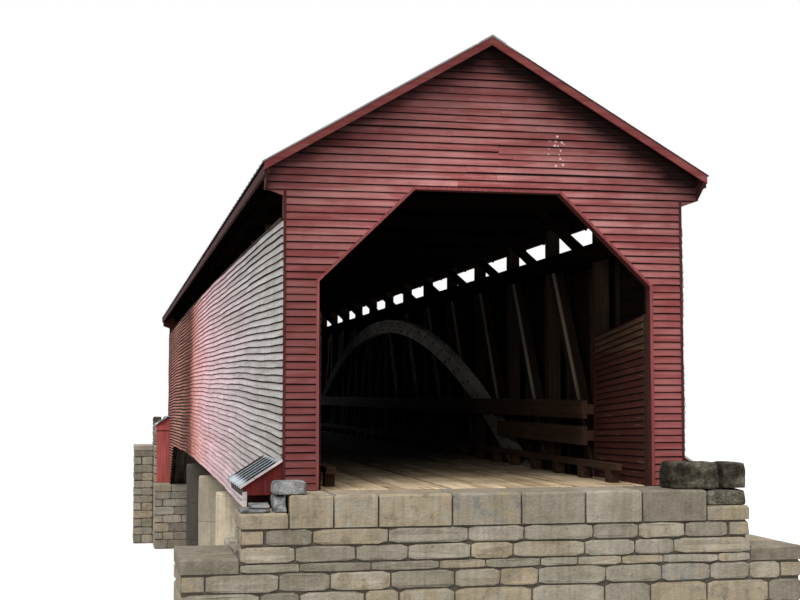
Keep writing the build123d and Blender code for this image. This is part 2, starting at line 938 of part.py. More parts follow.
with BuildPart() as near_abutment:
    masonry(core_profile, -wall_half_width, wall_half_width)
    for side in (-1, 1):
        cheek = sorted((side * wall_half_width, side * abutment_half_width))
        wing = sorted((side * abutment_half_width, side * (abutment_half_width + wing_wall_width)))
        masonry(cheek_profile, *cheek)
        masonry(wing_wall_profile, *wing)

save(near_abutment, "near_abutment")
save(along(near_abutment), "far_abutment")


# Low stone walls that flank the road in front of each portal

right_stone_inner = wall_half_width - right_guard_stone_inset
left_stone_inner = wall_half_width - left_guard_stone_inset
left_slab_inner = wall_half_width + left_slab_start
with BuildPart() as near_guard_stones:
    with BuildSketch(cross_plane(-half_length - guard_stone_end)):
        outline(
            [
                (right_stone_inner, 0),
                (wall_half_width, 0),
                (wall_half_width, shelf_height),
                (abutment_half_width, shelf_height),
                (abutment_half_width, right_guard_stone_top),
                (right_stone_inner, right_guard_stone_top),
            ]
        )
        outline(
            [
                (-left_stone_inner, 0),
                (-wall_half_width, 0),
                (-wall_half_width, shelf_height),
                (-abutment_half_width, shelf_height),
                (-abutment_half_width, left_slab_top),
                (-left_slab_inner, left_slab_top),
                (-left_slab_inner, left_guard_stone_top),
                (-left_stone_inner, left_guard_stone_top),
            ]
        )
    extrude(amount=-(guard_stone_end - guard_stone_start))

with BuildPart() as guard_stones:
    add(near_guard_stones.part)
    add(near_guard_stones.part.rotate(Axis.Z, 180))

save(guard_stones, "guard_stones")
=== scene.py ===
import bpy
import numpy as np
from math import pi, radians
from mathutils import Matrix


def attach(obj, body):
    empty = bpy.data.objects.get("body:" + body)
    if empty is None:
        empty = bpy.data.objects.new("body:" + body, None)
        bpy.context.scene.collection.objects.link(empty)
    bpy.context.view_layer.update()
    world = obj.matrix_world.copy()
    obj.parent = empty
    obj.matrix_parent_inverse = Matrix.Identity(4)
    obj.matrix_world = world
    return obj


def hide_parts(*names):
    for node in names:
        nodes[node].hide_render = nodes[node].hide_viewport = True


# Dresses the covered bridge: lapped boards, planks, ribbed metal, stones, concrete and bolts.
# Metres, X across the bridge, Y along it, Z up from the foot of the piers.
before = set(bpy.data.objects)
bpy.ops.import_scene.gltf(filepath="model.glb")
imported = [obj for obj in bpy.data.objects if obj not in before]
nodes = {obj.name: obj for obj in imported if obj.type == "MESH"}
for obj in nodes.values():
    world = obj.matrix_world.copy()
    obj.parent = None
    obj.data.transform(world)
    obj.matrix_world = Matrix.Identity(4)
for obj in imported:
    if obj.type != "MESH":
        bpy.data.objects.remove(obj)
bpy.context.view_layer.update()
print("frame loaded:", len(nodes), "nodes")

bridge = {
    "floorTop": 2.7,          # the pieces' heights below are taken from here
    "halfLength": 11.3,       # portal faces
    "wallFace": 1.65,         # outside of the side walls
    "course": 0.058475,       # height of one lapped board to the weather
    "slope": 0.58508,         # of the roof and the gables
    "archRadius": 17.49942,   # outside of the arches
    "archDepth": 0.2,
    "archRise": 1.91,         # their crown
}
floorTop, halfLength = bridge["floorTop"], bridge["halfLength"]
archRadius = bridge["archRadius"]
archCentre = floorTop + bridge["archRise"] - archRadius
sides = (-1, 1)
fourCorners = [(way, end) for way in sides for end in sides]


# meshes from arrays

def addObject(name, data):
    piece = bpy.data.objects.new(name, data)
    bpy.context.scene.collection.objects.link(piece)
    return piece


def addMesh(name, shells, material, slotName, replaced=(), smooth=False, **layers):
    # shells, each of points (n, 3) and index arrays (m, k), become one piece that rides on the root;
    # a layer holds a number for every point, as one array for each shell
    points = np.concatenate([shell[0] for shell in shells]).astype(np.float32)
    firsts = np.cumsum([0] + [len(shell[0]) for shell in shells])
    faces = [group + first for shell, first in zip(shells, firsts) for group in shell[1]]
    corners = np.concatenate([group.ravel() for group in faces]).astype(np.int32)
    sizes = np.concatenate([np.full(len(group), group.shape[1]) for group in faces])
    mesh = bpy.data.meshes.new(name)
    mesh.vertices.add(len(points))
    mesh.vertices.foreach_set("co", points.ravel())
    mesh.loops.add(len(corners))
    mesh.loops.foreach_set("vertex_index", corners)
    mesh.polygons.add(len(sizes))
    mesh.polygons.foreach_set("loop_start", (np.cumsum(sizes) - sizes).astype(np.int32))
    mesh.polygons.foreach_set("use_smooth", np.full(len(sizes), smooth))
    mesh.update(calc_edges=True)
    mesh.validate()
    for key, values in layers.items():
        layer = mesh.attributes.new(key, "FLOAT", "POINT")
        layer.data.foreach_set("value", np.concatenate([np.ravel(v) for v in values]).astype(np.float32))
    mesh.materials.append(material)
    piece = addObject(name, mesh)
    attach(piece, "root")
    if replaced:
        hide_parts(*replaced)


def gridPoints(x, y, z):
    # three arrays spread over one grid and set side by side as points
    return np.stack(np.broadcast_arrays(x, y, z), -1)


def tubes(points):
    # points (b, s, p, 3): b closed shells, each a loop of p points carried along s stations,
    # side quads (s, p), (s, p+1), (s+1, p+1), (s+1, p) and one cap at each end.
    # A shell whose volume, the sum of det(a, b, c) / 6, is negative has its faces turned round
    b, s, p = points.shape[:3]
    row, col = np.meshgrid(np.arange(s - 1), np.arange(p), indexing="ij")
    nextCol = (col + 1) % p
    quads = [row * p + col, row * p + nextCol, (row + 1) * p + nextCol, (row + 1) * p + col]
    quads = np.stack(quads, -1).reshape(-1, 4)
    caps = np.stack([np.arange(p)[::-1], (s - 1) * p + np.arange(p)])
    fans = [quads[:, :3], quads[:, [0, 2, 3]]] + [caps[:, [0, i, i + 1]] for i in range(1, p - 1)]
    flat = points.reshape(b, -1, 3)
    first, second, third = np.moveaxis((flat - flat.mean(1, keepdims=True))[:, np.concatenate(fans)], 2, 0)
    turned = (np.einsum("bti,bti->b", first, np.cross(second, third)) < 0)[:, None, None]
    shift = (np.arange(b) * s * p)[:, None, None]
    groups = [np.where(turned, faces[:, ::-1], faces) + shift for faces in (quads, caps)]
    return points.reshape(-1, 3), [group.reshape(-1, group.shape[-1]) for group in groups]


def boxes(spans, bevel=0.004):
    # spans (b, 2, 3): the lowest and highest corner of each box, which is a loop of 8 points with
    # cut corners at 4 stations: x = low + (high - low) u, the first and last drawn in by the bevel
    lows, highs = np.moveaxis(np.array(spans, float), 1, 0)
    cut = np.minimum(bevel, 0.3 * (highs - lows).min(1))[:, None, None, None]
    corner = np.array([[0, 0], [1, 0], [1, 0], [1, 1], [1, 1], [0, 1], [0, 1], [0, 0]], float)
    along = np.array([[1, 0], [-1, 0], [0, 1], [0, -1], [-1, 0], [1, 0], [0, -1], [0, 1]], float)
    size, centre = (highs - lows)[:, None, None, 1:], (lows + highs)[:, None, None, 1:] / 2
    flat = lows[:, None, None, 1:] + corner * size + along * cut
    inset = np.array([1.0, 0, 0, 1.0])[:, None, None]
    flat = centre + (flat - centre) * (1 - inset * 2 * cut / size)
    x = [lows[:, 0], lows[:, 0] + cut[:, 0, 0, 0], highs[:, 0] - cut[:, 0, 0, 0], highs[:, 0]]
    return tubes(gridPoints(np.stack(x, 1)[:, :, None], flat[..., 0], flat[..., 1]))


def placed(span, way=1, end=1):
    # the corners of a box (x, x, y, y, z, z) over the floor, mirrored by the signs
    x, y = sorted((way * span[0], way * span[1])), sorted((end * span[2], end * span[3]))
    return (x[0], y[0], floorTop + span[4]), (x[1], y[1], floorTop + span[5])


def randomTones(rng, shell, count):
    # one tone for each of the shell's bodies, repeated on all its points
    return np.repeat(rng.uniform(0, 1, count), len(shell[0]) // count)


# lapped boards

lapped = {
    "profile": (0, 0, 0.035, 1.12, 1.12),           # heights h of the profile's points, in courses
    "thin": 0.003, "edge": 0.0014,                  # upper edge, and rounding of the lower one
    "drop": 0.02, "tilt": 0.016, "bow": 0.022,      # how uneven the lower edge lies, in courses
    "thickness": (0.85, 1.15), "slipBow": 0.06,
    "joint": 0.0018, "firstLength": (0.35, 1.0), "lastLength": 0.45, "shortLengths": (2.0, 3.0),
}


def cutCourse(low, high, start, end, rng, lengths):
    # one course from v = low to high, with its ends given at both edges, start = (at low, at high);
    # joints fall at random lengths, so a row is (v low, v high, start low, high, end low, high)
    rows, left, gap = [], start, lapped["joint"] / 2
    mark = start[0] + rng.uniform(*lapped["firstLength"]) * lengths[1]
    while mark < end[0] - lapped["lastLength"] * lengths[0]:
        rows.append((low, high, *left, mark - gap, mark - gap))
        left = (mark + gap, mark + gap)
        mark += rng.uniform(*lengths)
    return rows + [(low, high, *left, *end)]


def cutAround(low, high, inner, outer, rng):
    # a course that leaves its middle open, from inner to outer on the right and mirrored on the left
    mirrored = [tuple(-v for v in pair) for pair in (outer, inner)]
    return (cutCourse(low, high, *mirrored, rng, lapped["shortLengths"])
            + cutCourse(low, high, inner, outer, rng, lapped["shortLengths"]))


def lapBoards(rows, place, rng, butt, step=0.25, slips=()):
    # board point = place(u, v, out), with u = start + (end - start) t, v = low + (high - low) h.
    # The profile (h, out): (0, 0), (0, butt - edge), (edge, butt), (1 + lap, thin), (1 + lap, 0)
    low, high, startLow, startHigh, endLow, endHigh = np.array(rows, float).T[..., None]
    b = len(rows)
    drop = rng.normal(0, lapped["drop"], (b, 1))
    tilt = rng.normal(0, lapped["tilt"], (b, 2))
    bow = rng.normal(0, lapped["bow"], (b, 1))
    thick = butt * rng.uniform(*lapped["thickness"], b)
    for index, amount in slips:
        tilt[index, 0] += amount
        bow[index] += lapped["slipBow"]
    none = 0 * thick
    out = np.stack([none, thick - lapped["edge"], thick, none + lapped["thin"], none], 1)
    h = np.array(lapped["profile"])
    t = np.linspace(0, 1, int(max(2, np.ceil((endLow - startLow).max() / step) + 1)))
    start, end = startLow + (startHigh - startLow) * h, endLow + (endHigh - endLow) * h
    u = start[:, None] + (end - start)[:, None] * t[:, None]
    lean = drop + tilt[:, :1] + (tilt[:, 1:] - tilt[:, :1]) * t + bow * np.sin(pi * t)
    v = (low + (high - low) * h)[:, None] + lean[..., None] * (high - low)[:, None] * (h < 0.5)
    shell = tubes(place(u, v, np.broadcast_to(out[:, None], u.shape)))
    return shell, np.broadcast_to(rng.uniform(0, 1, (b, 1, 1)), u.shape), np.broadcast_to(h, u.shape)


def addBoards(name, laid, material, slotName):
    shells, tones, rises = zip(*laid)
    addMesh(name, shells, material, slotName, tone=tones, rise=rises)


# materials

work = {"tree": None}   # the node tree that put() adds to


class Wire:
    # an output socket that can be reckoned with; every sign adds a Math node
    def __init__(self, socket):
        self.socket = socket

    def __add__(self, other):
        return calc("ADD", self, other)

    def __sub__(self, other):
        return calc("SUBTRACT", self, other)

    def __rsub__(self, other):
        return calc("SUBTRACT", other, self)

    def __mul__(self, other):
        return calc("MULTIPLY", self, other)

    def __truediv__(self, other):
        return calc("DIVIDE", self, other)

    def __abs__(self):
        return calc("ABSOLUTE", self)


def tint(red, green, blue):
    # a colour as seen, 0 to 255, made linear
    values = np.array([red, green, blue]) / 255
    linear = np.where(values <= 0.04045, values / 12.92, ((values + 0.055) / 1.055) ** 2.4)
    return (*linear.tolist(), 1.0)


def plug(node, inputs):
    # a wire is linked and a value is set; three numbers on a colour socket are a colour as seen
    for key, value in inputs.items():
        socket = node.inputs[key]
        if isinstance(value, Wire):
            work["tree"].links.new(value.socket, socket)
        else:
            socket.default_value = tint(*value) if socket.type == "RGBA" and len(value) == 3 else value


def put(kind, inputs=None, **settings):
    node = work["tree"].nodes.new("ShaderNode" + kind)
    for key, value in settings.items():
        setattr(node, key, value)
    plug(node, inputs or {})
    return node


def wire(kind, output, inputs=None, **settings):
    return Wire(put(kind, inputs, **settings).outputs[output])


def wires(kind, inputs=None, **settings):
    return {socket.name: Wire(socket) for socket in put(kind, inputs, **settings).outputs}


def calc(operation, first, second=0.0):
    return wire("Math", 0, {0: first, 1: second}, operation=operation)


def clamped(value):
    value.socket.node.use_clamp = True
    return value


def larger(first, second):
    return calc("MAXIMUM", first, second)


def spread(value, low, high, toLow=0.0, toHigh=1.0):
    # value carried from low .. high over to toLow .. toHigh, and held past its ends
    return wire("MapRange", 0, {0: value, 1: low, 2: high, 3: toLow, 4: toHigh})


def coats(colour, *layers):
    # each layer (amount, other) moves the colour towards the other by its amount
    for amount, other in layers:
        colour = wire("Mix", 2, {0: amount, 6: colour, 7: other}, data_type="RGBA")
    return colour


def axes(vector):
    return list(wires("SeparateXYZ", {0: vector}).values())


def combine(x, y, z):
    return wire("CombineXYZ", 0, {0: x, 1: y, 2: z})


def scaled(vector, scale):
    return wire("VectorMath", 0, {0: vector, 1: scale}, operation="MULTIPLY")


def noise(vector, scale, detail=4.0, rough=0.55):
    return wire("TexNoise", 0, {"Vector": vector, "Scale": scale, "Detail": detail, "Roughness": rough})


def cells(vector, scale):
    return wire("TexVoronoi", "Distance", {"Vector": vector, "Scale": scale})


def ramp(value, stops):
    node = put("ValToRGB", {0: value})
    band = node.color_ramp.elements
    band.remove(band[-1])
    band[0].position, band[0].color = stops[0][0], tint(*stops[0][1])
    for position, colour in stops[1:]:
        band.new(position).color = tint(*colour)
    return Wire(node.outputs[0])


def newGroup(name, ins, outs):
    # ins give each input's kind and first value; every output is a number
    tree = work["tree"] = bpy.data.node_groups.new(name, "ShaderNodeTree")
    for label, (kind, value) in ins.items():
        socket = tree.interface.new_socket(name=label, in_out="INPUT", socket_type="NodeSocket" + kind)
        socket.default_value = value
    for label in outs:
        tree.interface.new_socket(name=label, in_out="OUTPUT", socket_type="NodeSocketFloat")
    given = tree.nodes.new("NodeGroupInput").outputs
    return tree, [Wire(given[label]) for label in ins], tree.nodes.new("NodeGroupOutput")


# wood grain: noise stretched along the board, in broad streaks, fine fibres and open checks
woodGrain, (vector, stretch, seed), result = newGroup("wood grain", {
    "Vector": ("Vector", (0, 0, 0)), "Stretch": ("Vector", (1.5, 30, 30)), "Seed": ("Float", 0.0),
}, ("Streak", "Fibre", "Check"))
along = wire("VectorMath", 0, {0: scaled(vector, stretch), 1: combine(seed * 37.0, seed * 19.0, seed * 53.0)},
             operation="ADD")
crack = noise(scaled(along, (0.8, 1.6, 1.6)), 1.3, 3.0, 0.5)
plug(result, {"Streak": noise(along, 1.0, 6.0, 0.6), "Fibre": noise(along, 5.5, 5.0, 0.7),
              "Check": spread(crack, 0.66, 0.7)})

# weathering: broad stains, runs that hang down, and small specks
weathering, (vector, size), result = newGroup(
    "weathering", {"Vector": ("Vector", (0, 0, 0)), "Size": ("Float", 1.0)}, ("Stain", "Runs", "Specks"))
base = wire("VectorMath", 0, {0: vector, 3: size}, operation="SCALE")
plug(result, {"Stain": spread(noise(base, 1.6, 5.0, 0.6), 0.35, 0.68),
              "Runs": spread(noise(scaled(base, (14, 14, 0.9)), 1.0, 4.0, 0.6), 0.42, 0.72),
              "Specks": spread(noise(base, 60.0, 2.0, 0.5), 0.66, 0.72)})
axisStretch = {"x": (1.3, 30, 30), "y": (30, 1.3, 30), "z": (30, 30, 1.3)}


def grainAlong(coords, axis, tone):
    return wires("Group", {"Vector": coords, "Stretch": axisStretch[axis], "Seed": tone}, node_tree=woodGrain)


def weatherOn(coords, size):
    return wires("Group", {"Vector": coords, "Size": size}, node_tree=weathering)


def boardLayers():
    # one random value for each board, and how far up the board a point is
    return [wire("Attribute", "Fac", attribute_name=key, attribute_type="GEOMETRY")
            for key in ("tone", "rise")]


def startMaterial(name):
    material = bpy.data.materials.new(name)
    material.use_nodes = True
    work["tree"] = material.node_tree
    material.node_tree.nodes.clear()
    return material, wire("TexCoord", "Object")


def finishMaterial(material, colour, rough, height, strength, distance, shine=0.5, metal=0.0):
    bump = wire("Bump", 0, {"Strength": strength, "Distance": distance, "Height": height})
    shader = wire("BsdfPrincipled", 0, {"Base Color": colour, "Roughness": rough, "Normal": bump,
                                        "Specular IOR Level": shine, "Metallic": metal})
    put("OutputMaterial", {"Surface": shader})
    return material


bareWood, lapShadow, seamShadow = (112, 96, 88), (19, 5, 5), (16, 11, 9)


def paintedWood(name, axis, paint, chalk, dark, layered=True, wear=0.5, ramped=None, lap=0.14,
                shade=None, stains=(0.3, 0.1), deeper=None, shine=0.12):
    # colour = paint moved to chalk by the streaks, darkened by stains and by the shade mask, with bare grey
    # wood in the checks;
    # a painted shadow darkens each board below the lap above and along its butt; deeper widens that painted
    # shadow
    material, coords = startMaterial(name)
    tone, rise = boardLayers() if layered else (0.5, 0.5)
    grain, wet = grainAlong(coords, axis, tone), weatherOn(coords, 1.0)
    if ramped:
        paint, chalk = ramped(coords, tone)
    chalky = spread(grain["Streak"], 0.34, 0.66)
    if layered:
        chalky = clamped(chalky + (tone - 0.5) * 0.55)
    colour = coats(paint, (chalky, chalk), (wet["Stain"] * stains[0], dark), (wet["Runs"] * stains[1], dark),
                   (grain["Check"] * wear, bareWood))
    if shade:
        colour = shade(coords, colour)
    # painted shadow below each lap and on each butt
    if layered:
        height = rise + (grain["Streak"] - 0.5) * 0.12
        if deeper:
            height = height + deeper(coords)
        edge = larger(spread(height, 0.985 - lap, 1.02 - lap), spread(rise, 0.06, 0.03))
        colour = coats(colour, (spread(height, 0.99 - 2.6 * lap, 1.0 - lap, 0.0, 0.55), dark),
                       (edge * 0.97, lapShadow))
    relief = grain["Fibre"] * 0.5 + grain["Streak"] * 0.5 - grain["Check"] * 0.6
    rough = spread(grain["Fibre"], 0.2, 0.8, 0.9, 0.68)
    return finishMaterial(material, colour, rough, relief, 0.5, 0.002, shine)


def oldWood(name, axis, light, brown, dark, seams=None, vector=None, layered=False, shine=0.12, shade=None):
    # bare wood: brown to light by streaks, dark in checks and stains; seams = (axis, spacing, width)
    material, coords = startMaterial(name)
    tone = boardLayers()[0] if layered else 0.3
    grainCoords = vector(coords) if vector else coords
    grain, wet = grainAlong(grainCoords, axis, tone), weatherOn(grainCoords, 1.4)
    lit = spread(grain["Streak"], 0.3, 0.7)
    if layered:
        lit = clamped(lit + (tone - 0.5) * 0.8)
    colour = coats(brown, (lit, light), (wet["Stain"] * 0.5, dark), (grain["Check"] * 0.8, dark))
    relief = grain["Fibre"] * 0.5 + grain["Streak"] * 0.6 - grain["Check"] * 0.7
    if seams:
        which, spacing, width = seams
        place = axes(grainCoords)["XYZ".index(which)] / spacing
        line = calc("LESS_THAN", calc("FRACT", place + 100.0), width / spacing)
        board = wire("TexWhiteNoise", "Value", {"W": calc("FLOOR", place)}, noise_dimensions="1D")
        colour = coats(colour, (board * 0.45, dark), (line * 0.85, seamShadow))
        relief = relief - line * 1.5
    if shade:
        colour = shade(coords, colour)
    rough = spread(grain["Fibre"], 0.2, 0.8, 0.95, 0.75)
    return finishMaterial(material, colour, rough, relief, 0.6, 0.003, shine)


def wingRamp(coords, tone):
    # the top boards of the wings were never painted
    bare = calc("GREATER_THAN", axes(coords)[2] + tone * 0.04, floorTop + 1.13)
    return coats((56, 26, 20), (bare, (66, 46, 32))), coats((71, 38, 30), (bare, (88, 68, 50)))


# the dark stops from 0.53 to 0.67 are painted shade in the valley between the two swells
sidePaintAndShade = [   # place from the near end to the far end, paint, chalk
    (0.0, (154, 153, 148), (184, 184, 178)), (0.1, (162, 156, 155), (197, 192, 191)),
    (0.24, (192, 166, 170), (222, 200, 205)), (0.4, (214, 166, 170), (240, 200, 206)),
    (0.48, (208, 144, 138), (240, 184, 180)), (0.53, (184, 112, 102), (216, 150, 140)),
    (0.56, (104, 52, 44), (144, 92, 82)), (0.6, (86, 42, 36), (124, 78, 70)),
    (0.67, (124, 76, 64), (160, 114, 100)), (0.74, (166, 108, 92), (204, 152, 136)),
    (0.84, (160, 104, 90), (198, 146, 130)), (0.93, (136, 84, 72), (172, 120, 106)),
]


def sideRamp(coords, tone):
    # the paint fades from red at the far end to grey at the near end, board by board; the dark stops
    # from 0.53 to 0.67 are painted shade in the valley between the wall's two swells
    y = axes(coords)[1]
    drift = noise(scaled(coords, (1, 0.35, 1.4)), 1.0, 3.0, 0.6)
    loose = spread(y, -3.0, 1.0, 1.0, 0.3)
    y = y + (drift - 0.5) * 5.0 * loose + (tone - 0.5) * 1.1 * loose
    place = spread(y, -halfLength, halfLength)
    return [ramp(place, [(stop[0], stop[i]) for stop in sidePaintAndShade]) for i in (1, 2)]


def sideLaps(coords):
    # the painted shadow below each lap grows towards the far end and is a little narrower before the middle
    y = axes(coords)[1]
    return spread(y, 1.0, 4.5, 0.0, 0.36) + spread(y, -9.0, -5.0, 0.0, -0.04)


def sideRuns(coords, colour):
    # fine upright cracks and pale runs in the chalky paint, fading out towards the far end
    crack = noise(scaled(coords, (1, 26, 2.2)), 1.0, 3.0, 0.7)
    chalky = spread(axes(coords)[1], -4.0, 3.0, 1.0, 0.15)
    return coats(colour, (spread(crack, 0.54, 0.7, 0.0, 0.5) * chalky, (112, 98, 92)),
                 (spread(crack, 0.44, 0.3, 0.0, 0.28) * chalky, (232, 226, 222)))


def cornerShade(coords, colour):
    # the corner boards, past 1.6 m from the middle, are darker
    return coats(colour, (spread(abs(axes(coords)[0]), 1.6, 1.61, 0.0, 0.85), (52, 24, 22)))


def edgeShade(coords, colour):
    # painted shade along the right slope's sheet edges over the portals
    x, y, z = axes(coords)
    return coats(colour, (spread(abs(y), 11.4, 11.47) * spread(x, 0.15, 0.3) * 0.95, (20, 16, 18)))


def leftShade(coords, colour):
    # painted shade: the left rake, which faces away from the light, is darker
    return coats(colour, (spread(axes(coords)[0], 0.05, -0.05, 0.0, 0.3), (60, 20, 20)))


gable = {
    "ridge": 6.30,
    "splash": (0.575, -11.3, 1.4), "splashHeight": 0.26, "splashReach": (0.085, 0.06), "splashSize": 0.24,
}


def gableShade(coords, colour):
    # painted shadow under the rakes: dark down to 0.25 m below the roof line, fading out at 1.3 m, weaker on
    # the left;
    # painted shade darkens the left pilaster beside the opening, and a few pale splashes lie below the near
    # gable's right rake
    x, y, z = axes(coords)
    patch = noise(scaled(coords, (1.3, 1, 4.2)), 1.7, 3.0, 0.6)
    drift = (noise(scaled(coords, (1.2, 1, 3)), 1.5) - 0.5) * 0.3
    below = gable["ridge"] - abs(x) * bridge["slope"] - z + drift + spread(x, 0.2, -0.5, 0.04, 0.12)
    # painted shade on the left pilaster beside the opening
    leftPilasterShade = spread(x, -1.0, -1.3) * spread(z, 5.0, 4.2, 0.0, 0.42)
    near = wire("VectorMath", "Value", {0: scaled(coords, (1, 1, gable["splashHeight"])), 1: gable["splash"]},
                operation="DISTANCE")
    dots = calc("LESS_THAN", cells(scaled(coords, (1, 0, 1)), 21.0), gable["splashSize"])
    return coats(colour, (spread(patch, 0.5, 0.62, 0.0, 0.5), (128, 56, 56)),
                 (spread(patch, 0.46, 0.36, 0.0, 0.26), (178, 134, 126)),
                 (spread(z, 4.9, 4.3, 0.0, 0.55), (112, 50, 49)),
                 (leftPilasterShade, (50, 20, 19)),
                 # painted shadow under the rakes
                 (spread(below, 1.15, 0.05, 0.0, 0.66), (56, 20, 20)),
                 (spread(below, 0.33, 0.15, 0.0, 0.93), (10, 4, 4)),
                 (dots * spread(near, *gable["splashReach"]) * 0.75, (206, 180, 176)))


redDark = (70, 34, 30)
portalRed = paintedWood("portal_red", "x", (150, 84, 82), (190, 130, 128), redDark,
                        lap=0.13, shade=gableShade)
trimRed = paintedWood("trim_red", "z", (118, 54, 54), (146, 80, 80), redDark, False, shade=cornerShade)
darkTrim = paintedWood("dark_trim", "z", (44, 17, 15), (58, 26, 22), (24, 11, 9), False)
# a near-black red, painted shade, for the eave fascias and the plates that close the eave returns
eaveRed = paintedWood("eave_red", "y", (54, 25, 23), (72, 38, 35), (28, 14, 12), False)
rakeRed = paintedWood("rake_red", "x", (106, 48, 47), (134, 72, 70), redDark, False, shade=leftShade)
wingRed = paintedWood("wing_red", "y", None, None, (30, 18, 14), ramped=wingRamp)
# lit and shaded copies of one box paint: the dark one paints the shade on the near boxes, the light one the
# light on the far boxes
boxRedShaded = paintedWood("box_red", "z", (84, 22, 23), (108, 38, 37), redDark, False)
boxRedLit = paintedWood("far_box_red", "z", (152, 70, 66), (180, 94, 90), (110, 44, 40), False)
wallCore = paintedWood("wall_core", "x", (66, 32, 30), (84, 44, 40), (30, 16, 14), False)
sideFadedAndShaded = paintedWood("side_faded_and_shaded", "y", None, None, (96, 72, 66), wear=0.3, ramped=sideRamp, lap=0.15,
                        stains=(0.16, 0.05), deeper=sideLaps, shine=0.02, shade=sideRuns)
paleTrim = paintedWood("pale_trim", "x", (178, 166, 164), (218, 206, 202), (110, 100, 96), False)
greyFascia = paintedWood("grey_fascia", "y", (54, 48, 42), (80, 72, 64), (34, 30, 25), False)


def floorShade(coords, colour):
    # painted shade: the floor darkens from 9 m to 4.5 m from the middle, towards the inside of the bridge
    return coats(colour, (spread(abs(axes(coords)[1]), 9.0, 4.5, 0.0, 0.85), (20, 15, 11)))


def archCoords(coords):
    # along the arch: angle times radius; across it: distance from the circle's centre
    x, y, z = axes(coords)
    rise = z - archCentre
    reach = calc("SQRT", y * y + rise * rise)
    return combine(x, calc("ARCTAN2", y, rise) * archRadius, reach - archRadius)


def archPaintedShade(coords, colour):
    # painted shade: the arches are dark from the rails down and past midspan, and darker still below the
    # floor
    x, y, z = axes(coords)
    archShadeMask = larger(spread(z, 3.6, 3.3, 0.0, 0.8), spread(y, 0.0, 2.6, 0.0, 0.97))
    return coats(colour, (larger(archShadeMask, spread(z, 2.75, 2.5, 0.0, 0.96)), (30, 23, 18)))


def braceCoords(coords):
    # the braces lean towards midspan, so the grain follows |y| and z along their slope
    x, y, z = axes(coords)
    return combine(x, z * 0.5 + abs(y) * 0.86, z * 0.86 - abs(y) * 0.5)


braceHighlightReach = (1.408, 1.392)   # m from the middle: no painted highlight past the first, full highlight up to the second


def bracePaintedHighlight(coords, colour):
    # painted highlight: the faces that look up are lighter along their inner edge, above the rails
    x, y, z = axes(coords)
    up = axes(wire("NewGeometry", "Normal"))[2]
    edge = spread(abs(x), *braceHighlightReach) * spread(up, 0.15, 0.35) * spread(z, 3.2, 3.6, 0.08, 0.44)
    return coats(colour, (edge, (168, 154, 138)))


darkWood, shadeDarkWood = (14, 10, 7), (7, 5, 4)
timber = {a: oldWood("timber_" + a, a, (60, 45, 34), (34, 24, 17), darkWood) for a in "xyz"}
# dark copies of the timber, painted shade, for the members up under the roof
shadedTimber = {a: oldWood("sooty_" + a, a, (24, 19, 15), (15, 11, 8), shadeDarkWood, shine=0.0) for a in "xy"}
railWood = oldWood("rail_wood", "y", (76, 55, 41), (50, 34, 24), (22, 15, 11))
plankWood = oldWood("plank_wood", "y", (222, 200, 168), (168, 142, 110), (74, 58, 43),
                    layered=True, shade=floorShade)
deckWood = oldWood("deck_wood", "x", (104, 88, 70), (70, 54, 40), (32, 24, 18),
                   layered=True, shade=floorShade)
# the roof boards' underside is darkened as painted shade
roofUnder = oldWood("roof_under", "y", (22, 16, 13), (13, 10, 8), shadeDarkWood, ("X", 0.105, 0.004), shine=0.0)
sidingBack = oldWood("siding_back", "y", (44, 33, 28), (28, 20, 16), darkWood,
                     ("Z", 0.0585, 0.004), shine=0.03)
# the inner arches' near-white wood is painted light on their lit part; their shade mask paints the rest dark
archWoodLitAndShaded = oldWood("arch_wood", "y", (250, 245, 238), (228, 221, 212), (120, 112, 104), ("Z", 0.1, 0.004),
                   archCoords, shine=0.03, shade=archPaintedShade)
outerArchWood = oldWood("outer_arch_wood", "y", (66, 54, 44), (42, 32, 25), (18, 13, 10), ("Z", 0.1, 0.004),
                        archCoords, shine=0.03)
braceWood = oldWood("brace_wood", "z", (48, 35, 26), (28, 19, 14), darkWood,
                    vector=braceCoords, shade=bracePaintedHighlight)


def sheetMetal(name, clean, dull, rust, amount, gloss, shade=None, zinc=0.35):
    # zinc sheet: cloudy spangle, dull runs down the slope, a little rust and the shade mask
    material, coords = startMaterial(name)
    cloud = noise(coords, 3.0, 5.0, 0.6)
    streak = noise(scaled(coords, (1.2, 22, 1.2)), 1.0, 4.0, 0.6)
    colour = coats(clean, (spread(cloud, 0.3, 0.7), dull), (spread(streak, 0.45, 0.75, 0.0, 0.6), dull),
                   (weatherOn(coords, 1.2)["Stain"] * amount, rust))
    if shade:
        colour = shade(coords, colour)
    rough = spread(cloud, 0.3, 0.7, gloss, gloss + 0.25)
    return finishMaterial(material, colour, rough, cloud + streak * 0.4, 0.25, 0.003, zinc, zinc)


def hoodPaintedShade(coords, colour):
    # painted shade darkens the valleys between the ribs, less at the drip edge and the wall's edge
    x = abs(axes(coords)[0])
    middle = spread(x, 1.935, 1.9) * spread(x, 1.66, 1.69)
    ribShade = spread(boardLayers()[1], 0.965, 0.86) * spread(middle, 0.0, 1.0, 0.45, 0.98)
    return coats(colour, (ribShade, (9, 12, 14)))


roofMetal = sheetMetal("roof_metal", (150, 154, 158), (112, 114, 116), (110, 82, 66), 0.35, 0.45, edgeShade)
# the near-white sheet paints the highlight on the rib crests
hoodMetalLitAndShaded = sheetMetal("hood_metal_lit_and_shaded", (226, 234, 240), (176, 190, 198), (130, 130, 128), 0.25, 0.7,
                       hoodPaintedShade, 0.05)
iron = sheetMetal("dark_iron", (58, 54, 50), (40, 36, 33), (84, 56, 40), 0.6, 0.5)


